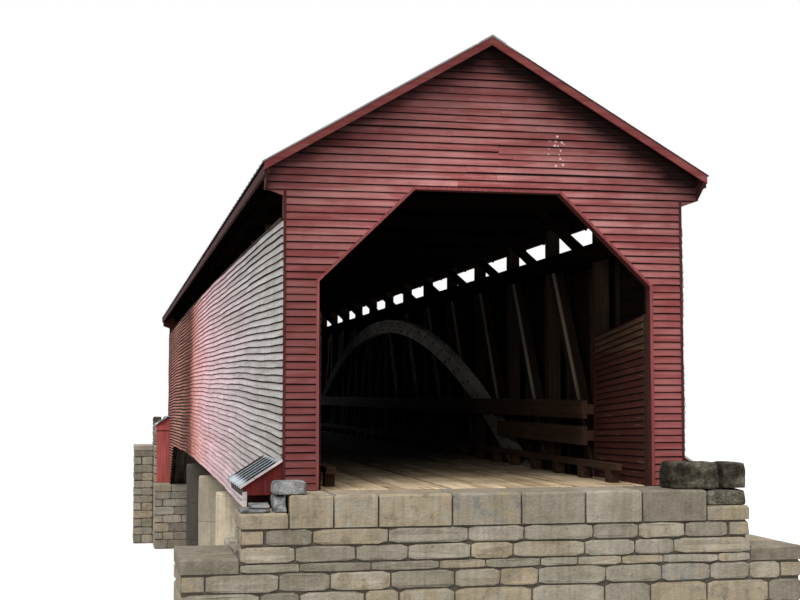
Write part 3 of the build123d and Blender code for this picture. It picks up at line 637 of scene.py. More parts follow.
def stoneMaterial(name, palette, moss, contrast=0.9, relief=0.012):
    # each stone has its own tone; grains, pits and damp stains over it
    material, coords = startMaterial(name)
    wet = weatherOn(coords, 2.2)
    rough = noise(coords, 9.0, 8.0, 0.65)
    tone = spread(boardLayers()[0], 0.0, 1.0, 0.1 * contrast, 1 - 0.1 * contrast)
    colour = coats(ramp(clamped(tone + (rough - 0.5) * contrast), palette), (wet["Stain"] * 0.45, moss),
                   (wet["Runs"] * 0.25, (60, 54, 46)), (spread(rough, 0.56, 0.72, 0.0, 0.5), (70, 62, 52)))
    height = rough + cells(coords, 55.0) * 0.35
    return finishMaterial(material, colour, spread(rough, 0.3, 0.7, 0.98, 0.8), height, 0.8, relief, 0.15)


def mortarMaterial():
    material, coords = startMaterial("mortar")
    grit = noise(coords, 40.0, 6.0, 0.7)
    colour = coats((72, 66, 56), (spread(grit, 0.3, 0.7), (100, 92, 80)),
                   (weatherOn(coords, 2.0)["Stain"] * 0.5, (48, 43, 34)))
    return finishMaterial(material, colour, spread(grit, 0.2, 0.8, 0.98, 0.88), grit, 0.7, 0.006)


def concreteMaterial():
    # cast concrete: form lines around the column, runs, a damp foot, and painted shade towards the far end
    material, coords = startMaterial("cast_concrete")
    x, y, z = axes(coords)
    wet = weatherOn(coords, 1.6)
    grit = noise(coords, 30.0, 8.0, 0.7)
    seam = calc("LESS_THAN", calc("FRACT", z / 0.61 + 0.35), 0.012)
    colour = coats((186, 174, 148), (spread(grit, 0.3, 0.7), (216, 204, 178)),
                   (wet["Stain"] * 0.5, (138, 122, 100)), (wet["Runs"] * 0.45, (110, 98, 82)),
                   (spread(z, 0.45, 0.0, 0.0, 0.55), (96, 88, 66)), (seam * 0.5, (104, 92, 76)),
                   (spread(y, -4.4, 1.6, 0.0, 0.95), (26, 21, 15)))
    return finishMaterial(material, colour, spread(grit, 0.3, 0.7, 0.95, 0.8), grit - seam * 0.6, 0.5, 0.004)


wallStone = stoneMaterial("wall_stone", [
    (0.0, (112, 104, 92)), (0.3, (144, 136, 122)), (0.55, (162, 154, 140)), (0.75, (158, 142, 118)),
    (1.0, (140, 138, 132))], (96, 92, 70))
slabStone = stoneMaterial("slab_stone", [
    (0.0, (70, 70, 70)), (0.35, (118, 118, 119)), (0.65, (154, 154, 154)), (1.0, (172, 170, 168))],
    (76, 76, 74), 3.2, 0.03)
guardStone = stoneMaterial("guard_stone", [
    (0.0, (30, 27, 21)), (0.35, (70, 66, 54)), (0.65, (104, 100, 86)), (1.0, (150, 148, 132))],
    (30, 27, 20), 2.8, 0.035)
mortar, concrete = mortarMaterial(), concreteMaterial()
print("materials made")

# materials for the CAD nodes that stay
kept = [
    (wallCore, "near_portal_wall far_portal_wall"), (trimRed, "portal_casings"), (rakeRed, "rake_boards"),
    (eaveRed, "eave_fascias"), (roofUnder, "left_roof_boards right_roof_boards"),
    (roofMetal, "left_roof_sheets right_roof_sheets ridge_cap"),
    (shadedTimber["x"], "left_rafters right_rafters tie_beams knee_braces"),
    (shadedTimber["y"], "wall_plates top_chords"), (timber["x"], "floor_beams"),
    (timber["y"], "wall_trims bottom_chords wall_girts floor_joists portal_wings"),
    (timber["z"], "left_posts right_posts wall_nailers"), (braceWood, "left_braces right_braces"),
    (archWoodLitAndShaded, "left_inner_arch right_inner_arch"), (outerArchWood, "left_outer_arch right_outer_arch"),
    (sidingBack, "left_side_wall right_side_wall"), (railWood, "kerb_timbers guard_rails"),
    (concrete, "pier_caps"),
]
for material, names in kept:
    for nodeName in names.split():
        slots = nodes[nodeName].data.materials
        slots.clear()
        slots.append(material)


# portal boards

portal = {
    "casing": 1.39, "corner": 1.63,        # half widths of the opening with its casing and of the boarding
    "bendHeight": 1.63131, "topHeight": 2.389, "chamfer": 0.768 / 0.745,    # the cut-off upper corners
    "eaveHeight": 2.3391, "returnReach": 1.795, "apex": 3.5672,
    "courses": 61, "lengths": (1.1, 2.3), "butt": 0.0105, "wave": 0.0012,
    "slips": {41: 0.06, 43: 0.06, 44: -0.26, 46: -0.26, 49: 0.06, 52: -0.26},   # course: drop of one board
}


def openingEdge(z):
    # half width of the opening with its casing at a height: jamb, then the cut-off corner
    if z >= portal["topHeight"]:
        return 0.0
    return min(portal["casing"], portal["casing"] - (z - portal["bendHeight"]) * portal["chamfer"])


def gableEdge(z):
    # half width of the boarding at a height: corner board, eave return, then the rake
    if z < portal["eaveHeight"] - 0.001:
        return portal["corner"]
    return max(0.0, min(portal["returnReach"], (portal["apex"] - z) / bridge["slope"]))


def portalRows(rng):
    rows, slips = [], []
    for k in range(portal["courses"]):
        low, high = k * bridge["course"], (k + 1) * bridge["course"]
        outer = (gableEdge(low + 1e-4), gableEdge(high))
        if outer[0] < 0.03:
            break
        if low < portal["topHeight"] - 0.012:
            rows += cutAround(low, high, (openingEdge(low), max(openingEdge(high), 0.6)), outer, rng)
            continue
        first = len(rows)
        rows += cutCourse(low, high, (-outer[0], -outer[1]), outer, rng, portal["lengths"])
        if k in portal["slips"]:
            slips.append((rng.integers(first, len(rows)), portal["slips"][k]))
    return rows, slips


def portalBoards(name, way, seed):
    rng = np.random.default_rng(seed)
    rows, slips = portalRows(rng)

    def place(u, v, out):
        # X = -way u, Y = way (portal face + out) with a slight wave, Z = floor + v
        wave = portal["wave"] * np.sin(5.1 * u + 3.0 * v + seed) * (out > 0)
        return gridPoints(-way * u, way * (halfLength + out + wave), floorTop + v)

    addBoards(name, [lapBoards(rows, place, rng, portal["butt"], slips=slips)], portalRed, "red_boards")


portalBoards("near_portal_boards", -1, 3)
portalBoards("far_portal_boards", 1, 4)
print("portal boards laid")


# side boards

hood = {"wall": 1.65, "edge": 1.972, "top": 0.242, "slope": 0.63333, "near": 11.322, "far": 10.156,
        "ribs": 6, "ribHeight": 0.017, "sheet": 0.003, "rows": 5,
        "eave": 0.028, "nearBoard": 0.022, "farBoard": 0.016, "boardDepth": 0.018}
side = {
    "courses": 42, "lengths": (1.8, 3.0), "butt": 0.011,
    "reach": 11.215, "bottomEnds": -0.438, "bottomRise": 0.168, "topEnds": 2.1, "topRise": 0.08,   # camber
    "ends": 11.303, "ragged": 0.007,       # ends of the courses over the boxes
    "boxEnds": 11.27, "shelf": 0.02, "shelfEnds": 10.2,   # ends behind the boxes and over the shelves
    "skirtFoot": -1.27, "skirtCourses": 15,
    "bow": 0.032, "valley": 2.0, "farSwell": 0.85,        # two long swells with a valley between them
    "swellShare": (0.55, 0.45), "swellCourses": 46,       # less at the wall's foot and top
    # smaller waves: height, and turns along u and v; ripples go outwards, sags up and down
    "ripples": ((0.0022, 2.3, 0.31), (0.0016, 5.3, -0.47)),
    "sags": ((0.005, 0.9, 0.11), (0.0035, 2.1, 0.23), (0.0018, 6.0, 1.9)),
}


def sideHeight(u, v):
    # z = bottom(u) + (top(u) - bottom(u)) v / courses, both edges cambered by 1 - (u / reach)^2
    camber = 1 - (u / side["reach"]) ** 2
    bottom = side["bottomEnds"] + side["bottomRise"] * camber
    top = side["topEnds"] + side["topRise"] * camber
    return bottom + (top - bottom) * v / side["courses"]


def skirtEdge(v):
    # where the course's edge meets the underside of the arch: u = sqrt(r^2 - (z - c)^2), by repeats
    u = 9.0
    for _ in range(8):
        z = max(sideHeight(u, v), side["skirtFoot"]) + floorTop - archCentre
        u = np.sqrt((archRadius - bridge["archDepth"]) ** 2 - z ** 2)
    return u


def sideRows(rng):
    rows = []
    for v in range(side["courses"]):
        if sideHeight(11.0, v) < side["shelf"]:
            left = right = side["shelfEnds"]
        elif sideHeight(halfLength, v) < hood["top"] - 0.01:
            left = right = side["boxEnds"]
        else:
            left, right = side["ends"] + rng.uniform(-side["ragged"], side["ragged"], 2)
        rows += cutCourse(v, v + 1, (-left, -left), (right, right), rng, side["lengths"])
    for v in range(-1, -side["skirtCourses"] - 1, -1):
        if sideHeight(9.9, v + 1) < side["skirtFoot"] + 0.01:
            break
        rows += cutAround(v, v + 1, (skirtEdge(v), skirtEdge(v + 1)), (side["shelfEnds"],) * 2, rng)
    return rows


def sideBoards(name, way, seed):
    rng = np.random.default_rng(seed)
    rows = sideRows(rng)
    phase = rng.uniform(0, 6.28, 6)

    def place(u, v, out):
        # X = way (wall face + out + bow), the bow two long swells with a valley; Z = sideHeight + sag
        first = np.sin(pi * np.clip((u + side["reach"]) / (side["valley"] + side["reach"]), 0, 1))
        second = np.sin(pi * np.clip((u - side["valley"]) / (side["reach"] - side["valley"]), 0, 1))
        swell = side["bow"] * (first + side["farSwell"] * second)
        least, more = side["swellShare"]
        swell = swell * (least + more * np.sin(pi * np.clip(v / side["swellCourses"], 0, 1)))
        ripple, sag = [sum(a * np.sin(f * u + g * v + p) for (a, f, g), p in zip(waves, phases))
                       for waves, phases in ((side["ripples"], phase[:2]), (side["sags"], phase[2:]))]
        x = bridge["wallFace"] + out + (out > 0) * (swell + ripple + 0.003)
        return gridPoints(way * x, u, floorTop + np.maximum(sideHeight(u, v) + sag, side["skirtFoot"]))

    addBoards(name, [lapBoards(rows, place, rng, side["butt"], step=0.22)], sideFadedAndShaded, "faded_boards")


sideBoards("left_side_boards", -1, 11)
sideBoards("right_side_boards", 1, 12)
print("side boards laid")


# wings just inside the portals

wing = {"face": 1.345, "start": 10.022, "end": 11.21, "topAtPortal": 1.4, "topAtPost": 1.26, "butt": 0.0095,
        "courses": 24, "trim": 0.034, "trimDepth": 0.016}


def wings():
    rng = np.random.default_rng(21)
    e, first, last = bridge["course"], wing["start"], wing["end"]
    trimmed, full = first + wing["trim"], wing["courses"] * e
    rows = [(k * e, (k + 1) * e, trimmed, trimmed, last, last) for k in range(wing["courses"])]
    laid = []
    for way, end in fourCorners:
        def place(u, v, out):
            # courses squeezed a little towards the post, where the wing's top is lower
            share = (u - first) / (last - first)
            top = wing["topAtPost"] + (wing["topAtPortal"] - wing["topAtPost"]) * share
            z = floorTop + np.minimum(v, full) * top / full
            return gridPoints(way * (wing["face"] - out), end * u, z)

        laid.append(lapBoards(rows, place, rng, wing["butt"], step=0.4))
    addBoards("wing_boards", laid, wingRed, "red_boards")
    trim = (wing["face"], wing["face"] - wing["trimDepth"], first, trimmed, 0.001, wing["topAtPost"] + 0.02)
    shell = boxes([placed(trim, *corner) for corner in fourCorners], 0.003)
    addMesh("wing_trims", [shell], darkTrim, "red_boards")


wings()
print("wings boarded")


# roof: standing seams and the hoods over the arch ends

roof = {"apex": 3.602, "pitch": 0.2275, "seamWidth": 0.009, "seamHeight": 0.0125, "halfLength": 11.462,
        "stations": (0.104, 0.6, 1.2, 1.826), "seamEnd": 1.8288}


def roofSeams(name, way):
    # seam point = slope line at distance d from the ridge, lifted along the slope's normal by h,
    # profile (y, h): foot, narrow neck, folded head
    count = int(roof["halfLength"] / roof["pitch"])
    y = np.arange(-count, count + 1)[:, None, None] * roof["pitch"]
    across = roof["seamWidth"] * np.array([-1, -0.45, -0.6, 0, 0.6, 0.45, 1])
    lift = np.array([-0.001, *(roof["seamHeight"] * np.array([0.35, 0.9, 1, 0.9, 0.35])), -0.001])
    d, slope = np.array(roof["stations"])[:, None], bridge["slope"]
    x = np.minimum(d + lift * slope / np.hypot(1, slope), roof["seamEnd"])
    z = roof["apex"] - d * slope + lift / np.hypot(1, slope)
    addMesh(name, [tubes(gridPoints(way * x, y + across, floorTop + z))], roofMetal, "roof_metal")


roofSeams("left_roof_seams", -1)
roofSeams("right_roof_seams", 1)


def hoodRoofs():
    # ribbed sheet: z = top - slope (x - wall) - height + rib(y), rib = height (0.5 + 0.5 cos)^2 along y;
    # the rise layer keeps the rib's share, 0 in a valley and 1 on a crest
    near, far = hood["near"] - hood["eave"], hood["far"]
    y = np.linspace(far, near, hood["ribs"] * 12 + 1)
    share = (0.5 + 0.5 * np.cos((y - far) / (near - far) * hood["ribs"] * 2 * pi)) ** 2
    x = np.linspace(hood["wall"], hood["edge"], hood["rows"])[:, None]
    line = floorTop + hood["top"] - hood["slope"] * (x - hood["wall"])
    upper = line + hood["ribHeight"] * (share - 1)
    y, z = np.concatenate([y, y[::-1]]), np.concatenate([upper, upper[:, ::-1] - hood["sheet"]], 1)
    rise = np.tile(np.concatenate([share, share[::-1]]), hood["rows"])
    shells = [tubes(gridPoints(way * x, end * y, z)[None]) for way, end in fourCorners]
    addMesh("hood_sheets", shells, hoodMetalLitAndShaded, "roof_metal", ["arch_end_roofs"], rise=[rise] * 4)
    # thin boards along the open edges of each hood, pale in front and dark at the inner end
    front, inner = (hood["near"] - hood["nearBoard"], hood["near"]), (far, far + hood["farBoard"])
    for name, (start, stop), material in (("hood_edges", front, paleTrim),
                                          ("hood_inner_edges", inner, boxRedShaded)):
        y, drop = np.array([start, stop, stop, start]), hood["boardDepth"] * np.array([0, 0, 1, 1])
        shells = [tubes(gridPoints(way * x, end * y, line - drop)[None]) for way, end in fourCorners]
        addMesh(name, shells, material, "roof_metal")


hoodRoofs()


box = {
    "inner": 1.652, "outer": 1.95, "board": 0.022, "front": 11.3, "back": 10.2, "gap": 0.001,
    "cheekFoot": -0.03, "farFoot": -1.268, "under": 0.022,
    # x, x, y, y, z, z
    "fascia": (1.93, 1.95, 10.224, 11.276, -0.042, 0.028),
    "leg": (1.918, 1.952, 11.266, 11.303, -0.129, -0.004),
    "apron": (1.652, 1.845, 10.202, 10.22, -0.4, -0.028),
    "cap": (1.662, 1.962, 10.182, 10.1995, -0.088, 0.02),
    "line": (1.664, 1.958, 10.188, 10.1995, -0.1, -0.088),
    "return": ((11.455, 2.47), (11.455, 2.44), (11.312, 2.341), (11.22, 2.341), (11.22, 2.47)),
    "returnX": (1.78, 1.7945),
}


def uprightBoards(way, count, y, foot, rng):
    # each board is a loop (x, z) of 4 points, its top cut along the hood's slope, carried from y[0] to y[1]
    edges = np.linspace(box["inner"], box["outer"], count + 1)
    a, b = edges[:-1] + box["gap"], edges[1:] - box["gap"]
    top = hood["top"] - box["under"] - (np.stack([a, b]) - hood["wall"]) * hood["slope"]
    x = np.stack([a, b, b, a], 1)[:, None]
    z = np.stack([np.full(count, foot), np.full(count, foot), top[1], top[0]], 1)[:, None]
    y = np.array(y)[:, None] + rng.uniform(0, 0.0015, (count, 1, 1)) * np.array([1, 0])[:, None]
    return tubes(gridPoints(way * x, y, floorTop + z))


def cornerBoxes():
    # front boards, back boards, outer fascia, corner leg, and a cap moulding on the far boxes
    rng = np.random.default_rng(31)
    red, far = [], []
    parts = {"box_caps": [], "box_fascias": [], "box_legs": [], "box_aprons": []}
    for way, end in fourCorners:
        ys = (end * box["front"], end * (box["front"] - box["board"]))
        red.append(uprightBoards(way, 3, ys, box["cheekFoot"], rng))
        ys = (end * box["back"], end * (box["back"] + box["board"]))
        if end < 0:
            red.append(uprightBoards(way, 3, ys, box["cheekFoot"], rng))
        else:
            far.append(uprightBoards(way, 5, ys, box["farFoot"], rng))
            parts["box_caps"].append(placed(box["cap"], way, end))
        parts["box_aprons"].append(placed(box["apron"] if end < 0 else box["line"], way, end))
        parts["box_fascias"].append(placed(box["fascia"], way, end))
        parts["box_legs"].append(placed(box["leg"], way, end))
    made = {"box_boards": (red, boxRedShaded), "far_box_boards": (far, boxRedLit)}
    for (name, spans), material in zip(parts.items(), (boxRedLit, greyFascia, paleTrim, darkTrim)):
        made[name] = ([boxes(spans, 0.003)], material)
    for name, (shells, material) in made.items():
        addMesh(name, shells, material, "red_boards", ["arch_end_boxes"])
    # plates that close the eave returns: (y, z) from the rake's foot back to the return's lower corner
    y, z = np.array(box["return"]).T
    x = np.array(box["returnX"])[:, None]
    shells = [tubes(gridPoints(way * x, end * y, floorTop + z)[None]) for way, end in fourCorners]
    addMesh("return_ends", shells, eaveRed, "red_boards")


cornerBoxes()
print("roof seams and hoods made")


# floor: running planks, deck boards

floor = {"bands": [(-1.258, -0.32), (-0.28, 0.73), (0.77, 1.258)], "reach": 11.21, "thickness": 0.035,
         "plankWidth": 0.118, "gap": 0.004, "lengths": (2.2, 4.2), "shortest": 0.12, "uneven": 0.004,
         "strip": (1.262, 1.343, 10.02, 11.21),                        # beside the wings
         "deckWidth": 0.12, "deckHalf": (1.258, 1.368), "wideFrom": 10.03, "deck": (-0.0698, -0.0352)}


def addPlanks(name, spans, bevel, rng, material, replaced):
    shell = boxes(spans, bevel)
    tone = randomTones(rng, shell, len(spans))
    addMesh(name, [shell], material, "floor_planks", [replaced], tone=[tone], rise=[tone * 0 + 0.5])


def runningPlanks():
    rng = np.random.default_rng(41)
    spans, reach, gap = [], floor["reach"], floor["gap"] / 2
    foot = 0.0005 - floor["thickness"]
    for a, b in floor["bands"]:
        edges = np.linspace(a, b, max(1, round((b - a) / floor["plankWidth"])) + 1)
        for x0, x1 in zip(edges[:-1] + gap, edges[1:] - gap):
            place = -reach + rng.uniform(-2.5, 0)
            while place < reach:
                stop = place + rng.uniform(*floor["lengths"])
                y0, y1 = max(place, -reach), min(stop, reach)
                if y1 - y0 > floor["shortest"]:
                    top = rng.uniform(-floor["uneven"], 0.0)
                    spans.append(placed((x0, x1, y0 + gap, y1 - gap, foot, top)))
                place = stop
    spans += [placed((*floor["strip"], foot, -0.001), *corner) for corner in fourCorners]
    addPlanks("floor_planks", spans, 0.004, rng, plankWood, "running_planks")


def deckBoards():
    rng = np.random.default_rng(42)
    n = round(2 * floor["reach"] / floor["deckWidth"])
    gap, (narrow, wide) = floor["gap"] / 2, floor["deckHalf"]
    y = np.linspace(-floor["reach"], floor["reach"], n + 1)
    half = np.where(np.abs((y[:-1] + y[1:]) / 2) > floor["wideFrom"], wide, narrow)
    foot, top = floor["deck"]
    lows = np.stack([-half, y[:-1] + gap, np.full(n, floorTop + foot)], 1)
    highs = np.stack([half, y[1:] - gap, floorTop + top - rng.uniform(0, 0.002, n)], 1)
    addPlanks("floor_deck", np.stack([lows, highs], 1), 0.003, rng, deckWood, "deck_boards")


runningPlanks()
deckBoards()
print("floor laid")


# bolts along the arches

bolts = {
    "rows": (-0.052, -0.148), "pitch": 0.48, "reach": 9.6, "face": 1.2682,
    # radius and height of the rings of a washer and its nut
    "rings": ((0.021, 0), (0.021, 0.003), (0.0125, 0.0035), (0.0125, 0.012), (0.00875, 0.014)),
}


def archBolts():
    # bolt centre = circle of radius R + row at angle a; each bolt is a loop of 6 points at 5 stations
    step, limit = bolts["pitch"] / archRadius, np.arcsin(bolts["reach"] / archRadius)
    turn = np.arange(6) * pi / 3
    r, out = np.array(bolts["rings"]).T[..., None]
    shells = []
    for way in sides:
        for row, shift in zip(bolts["rows"], (0, 0.5)):
            angle = np.arange(-limit + shift * step, limit, step)[:, None, None]
            y = (archRadius + row) * np.sin(angle) + r * np.cos(turn)
            z = archCentre + (archRadius + row) * np.cos(angle) + r * np.sin(turn)
            shells.append(tubes(gridPoints(way * (bolts["face"] - out), y, z)))
    addMesh("arch_bolts", shells, iron, "old_timber")


archBolts()
print("arch bolts set")


# piers, with heights from their foot

pier = {"radius": 0.3, "x": 1.41, "y": (-5.1, -1.7, 1.7), "top": 2.26, "around": 64, "inset": 0.0022,
        "joints": (0.397, 1.007, 1.617), "groove": 0.004,
        "wornTop": (0.006, 0.01), "wornFoot": (0.002, 0.02),             # how deep and over which height
        "wobble": ((0.0012, 3, 2.1, 1), (0.0008, 7, -5, 2))}             # height, turns, along z, by column


def pierColumns():
    # lathe: r(z) = radius less a fine cast unevenness and small grooves at the form joints
    joints = np.array(pier["joints"])
    z = [np.linspace(0, pier["top"], 45), joints - 0.003, joints, joints + 0.003]
    z = np.unique(np.concatenate(z))[:, None]
    turn = np.arange(pier["around"]) * 2 * pi / pier["around"]
    groove = sum(pier["groove"] * np.exp(-((z - c) / pier["groove"]) ** 2) for c in joints)
    (topDeep, topHigh), (footDeep, footHigh) = pier["wornTop"], pier["wornFoot"]
    edge = topDeep * np.exp(-(pier["top"] - z) / topHigh) + footDeep * np.exp(-z / footHigh)
    i, x, y = [np.array(v)[:, None, None] for v in (range(6), pier["x"] * np.repeat(sides, 3), pier["y"] * 2)]
    wobble = sum(a * np.sin(f * turn + g * z + h * i) for a, f, g, h in pier["wobble"])
    r = pier["radius"] - pier["inset"] - groove - edge + wobble
    shells = [tubes(gridPoints(x + r * np.cos(turn), y + r * np.sin(turn), z))]
    addMesh("concrete_columns", shells, concrete, "concrete", ["pier_columns"], smooth=True)


pierColumns()
print("columns cast")


# stones

stone = {
    "small": (0.25, 0.08, 0, 0, 0, 0),              # inset as a share of the half width
    "inset": (0, 0, 0.009, 0.003, 0.003, 0.004),    # and in metres
    "deep": (0, 0, 0, 0, 0.6, 1),                   # depth as a share
    "depth": (0, 0.002, 0.009, 0.02, 0, -0.001),    # and in metres
    "front": (1, 1, 0.8, 0.4, 0, 0), "jitter": (0.006, 0.005, 0.004, 0.0025, 0.002, 0),
    "waves": ((11, 7, 0.4), (-9, 17, 0.3), (23, -19, 0.2), (41, 37, 0.15)),
}


def stoneShells(spans, axis, sign, rng, lump=0.012, corner=0.25):
    # a stone is a loop of 12 points carried along its depth axis, drawn in at the worn front edge:
    # point = centre + (half - inset) square, depth = front - d, plus lumps that are sums of sines
    lows, highs = np.moveaxis(np.array(spans, float), 1, 0)
    others = [i for i in range(3) if i != axis]
    c = 1 - corner
    square = np.array([[-1, -c], [-1, 0], [-1, c], [-c, 1], [0, 1], [c, 1], [1, c], [1, 0], [1, -c],
                       [c, -1], [0, -1], [-c, -1]])
    half, centre = (highs - lows)[:, None, None, others] / 2, (highs + lows)[:, None, None, others] / 2
    insets = half.min(-1) * stone["small"] + stone["inset"]
    depths = (highs - lows)[:, [axis]] * stone["deep"] + stone["depth"]
    flat = centre + (half - insets.reshape(len(spans), 6, 1, 1)) * square
    phase = rng.uniform(0, 6.28, (len(spans), 1, 1, 4))
    wave = sum(w * np.sin(f * flat[..., 0] + g * flat[..., 1] + phase[..., i])
               for i, (f, g, w) in enumerate(stone["waves"]))
    push = np.maximum(lump * np.array(stone["front"])[:, None] * (0.9 + 0.85 * wave), 0)
    jitter = rng.uniform(-1, 1, flat.shape) * np.array(stone["jitter"])[:, None, None]
    face = (highs if sign > 0 else lows)[:, axis, None, None]
    points = np.empty(flat.shape[:3] + (3,))
    points[..., axis] = face - sign * (depths[:, :, None] + push)
    points[..., others] = np.clip(flat + jitter, centre - half + 0.0005, centre + half - 0.0005)
    return tubes(points)


def sidePair(x, span, levels, own):
    # the same side face on the left and on the right
    return [(0, way * x, way, span, levels, own) for way in sides]


def endPair(y, near, far, levels):
    # the same short end face on the left and on the right, between |x| = near and far
    return [(1, y, 1, (-far, -near), levels, (False, None)), (1, y, 1, (near, far), levels, (None, False))]


wingHalf, seatHalf, wallHalf = 2.45, 2.01, 1.65                              # half widths
backY, shelfY, wingY, seatY, frontY = -11.75, -11.24, -10.8, -10.2, -9.55    # along the bridge
seatZ, slabZ, shelfZ, capZ, topZ = 1.27, 1.43, 2.13, 2.25, 2.45              # heights from the foot
masonry = {
    "joint": 0.006, "depth": 0.19, "widths": (0.26, 0.62), "slabWidths": (0.32, 0.6),
    "courses": [0.0, 0.2, 0.37, 0.57, 0.75, 0.93, 1.1, 1.27, 1.43, 1.62, 1.8, 1.99, 2.2, 2.325, 2.48, 2.6],
    # faces: axis looked along, place, direction, span, heights, and the ends that have the corner's
    # stones on even courses
    "faces": [
        (1, backY, -1, (-wingHalf, wingHalf), (0.0, shelfZ), (True, True)),
        (1, backY, -1, (-seatHalf, seatHalf), (shelfZ, topZ), (True, True)),
        *sidePair(wingHalf, (backY, wingY), (0.0, shelfZ), (False, True)),
        *endPair(wingY, seatHalf, wingHalf, (0.0, shelfZ)),
        *sidePair(seatHalf, (backY, shelfY), (capZ, topZ), (False, True)),
        *endPair(shelfY, wallHalf, seatHalf, (capZ, topZ)),
        *sidePair(seatHalf, (wingY, frontY), (0.0, seatZ), (None, False)),
        *sidePair(seatHalf, (wingY, seatY), (seatZ, shelfZ), (None, False)),
        (1, frontY, 1, (-seatHalf, seatHalf), (0.0, seatZ), (True, True)),
        (1, seatY, 1, (-seatHalf, seatHalf), (slabZ, shelfZ), (True, True)),
    ],
    # slabs over the ledges: x, y, z, and the axis they are cut along; the first three on both sides
    "sideSlabs": [((2.012, 2.449), (-11.749, -10.801), (2.134, 2.25), 1),
                  ((1.652, 2.009), (-11.237, -10.201), (2.134, 2.25), 1),
                  ((1.652, 2.009), (-11.749, -11.243), (2.454, 2.57), 1)],
    "slabs": [((-2.009, 2.009), (-10.199, -9.551), (1.274, 1.43), 0),
              ((-1.649, 1.649), (-11.213, -10.201), (2.134, 2.3245), 0),
              ((-1.649, 1.649), (-11.749, -11.217), (2.454, 2.699), 0)],
    # mortar behind the stones: lowest and highest corners
    "core": [((-1.984, -11.724, 0.001), (1.984, -9.576, 1.415)),
             ((-1.982, -11.722, 1.405), (1.982, -10.226, 2.235)),
             ((-1.636, -11.72, 2.225), (1.636, -10.228, 2.31)),
             ((-1.98, -11.718, 2.227), (1.98, -11.266, 2.555)),
             ((-1.634, -11.716, 2.3), (1.634, -11.236, 2.68)),
             ((-2.424, -11.726, 0.002), (-1.978, -10.826, 2.233)),
             ((1.978, -11.726, 0.002), (2.424, -10.826, 2.233))],
}


def cutRun(start, end, widths, rng):
    # stones of random widths along a run, the last one made up to its end, half a joint off each
    while start < end - 1e-6:
        stop = start + rng.uniform(*widths)
        if end - stop < widths[0] * 0.8:
            stop = end
        yield start + masonry["joint"] / 2, stop - masonry["joint"] / 2
        start = stop


def courseStones(axis, at, sign, span, levels, own, rng):
    # stones of one face: every course is cut at random; own tells which ends reach the corner
    # on even courses, and the other courses stop short there by the depth of the corner stone
    spans, j, d, courses = [], masonry["joint"] / 2, masonry["depth"], masonry["courses"]
    heights = [z for z in courses if levels[0] - 1e-6 < z < levels[1] - 0.03] + [levels[1]]
    if heights[0] > levels[0] + 1e-6:
        heights = [levels[0]] + heights
    for low, high in zip(heights[:-1], heights[1:]):
        even = np.argmin(np.abs(np.array(courses) - low)) % 2 == 0
        start, end = [span[i] + (d, -d)[i] * (own[i] is not None and even != own[i]) for i in (0, 1)]
        for run in cutRun(start, end, masonry["widths"], rng):
            block = [run, run, (low + j, high - j)]
            block[axis] = sorted((at - sign * d * rng.uniform(0.85, 1.0), at))
            spans.append(list(zip(*block)))
    return spans


def abutment(name, end, seed):
    # faces in the near abutment's own Y; the far one is turned half round, which keeps it solid
    rng = np.random.default_rng(seed)
    shells, tones = [], []

    def lay(spans, *facing, **shape):
        shells.append(stoneShells(spans, *facing, rng, **shape))
        tones.append(randomTones(rng, shells[-1], len(spans)))

    for face in masonry["faces"]:
        lay(courseStones(*face, rng), face[0], face[2])
    mirrored = [(sorted((way * x[0], way * x[1])), y, z, cut)
                for way in sides for x, y, z, cut in masonry["sideSlabs"]]
    for *block, cut in mirrored + masonry["slabs"]:
        runs = cutRun(*block[cut], masonry["slabWidths"], rng)
        spans = [list(zip(*block[:cut], run, *block[cut + 1:])) for run in runs]
        lay(spans, 2, 1, lump=0.003, corner=0.03)
    turned = np.array([-end, -end, 1])
    shells = [(points * turned, groups) for points, groups in shells]
    points, groups = boxes(masonry["core"])
    addMesh(name + "_stones", shells, wallStone, "stone", [name], tone=tones, rise=tones)
    addMesh(name + "_core", [(points * turned, groups)], mortar, "stone", [name])


abutment("near_abutment", -1, 51)
abutment("far_abutment", 1, 52)


guard = {
    "around": 32, "lump": 0.02, "sharp": 0.16,
    # share drawn in, and height as a share, from the foot over the top
    "steps": [(0.07, 0), (0.02, 0.05), (0, 0.18), (0, 0.32), (0, 0.46), (0, 0.6), (0.01, 0.74), (0.03, 0.87),
              (0.09, 0.97), (0.25, 1), (0.45, 1), (0.65, 1), (0.85, 1)],
    "waves": [(9, 14, 21, 0.3), (-17, 23, 11, 0.25), (31, -27, 43, 0.2), (52, 61, -38, 0.12),
              (-83, 71, 66, 0.08), (97, 118, 103, 0.05)],
    # x, x, y, y, z, z
    "right": [(1.351, 1.785, -11.73, -11.42, 0.001, 0.214), (1.795, 2.009, -11.722, -11.43, 0.001, 0.206),
              (1.655, 2.008, -11.726, -11.424, -0.129, -0.003)],
    "left": [(-1.768, -1.501, -11.73, -11.425, 0.001, 0.099),
             (-1.765, -1.655, -11.724, -11.43, -0.129, -0.003),
             (-2.009, -1.77, -11.729, -11.421, -0.129, -0.098),
             (-1.935, -1.772, -11.72, -11.44, -0.099, -0.066)],
}


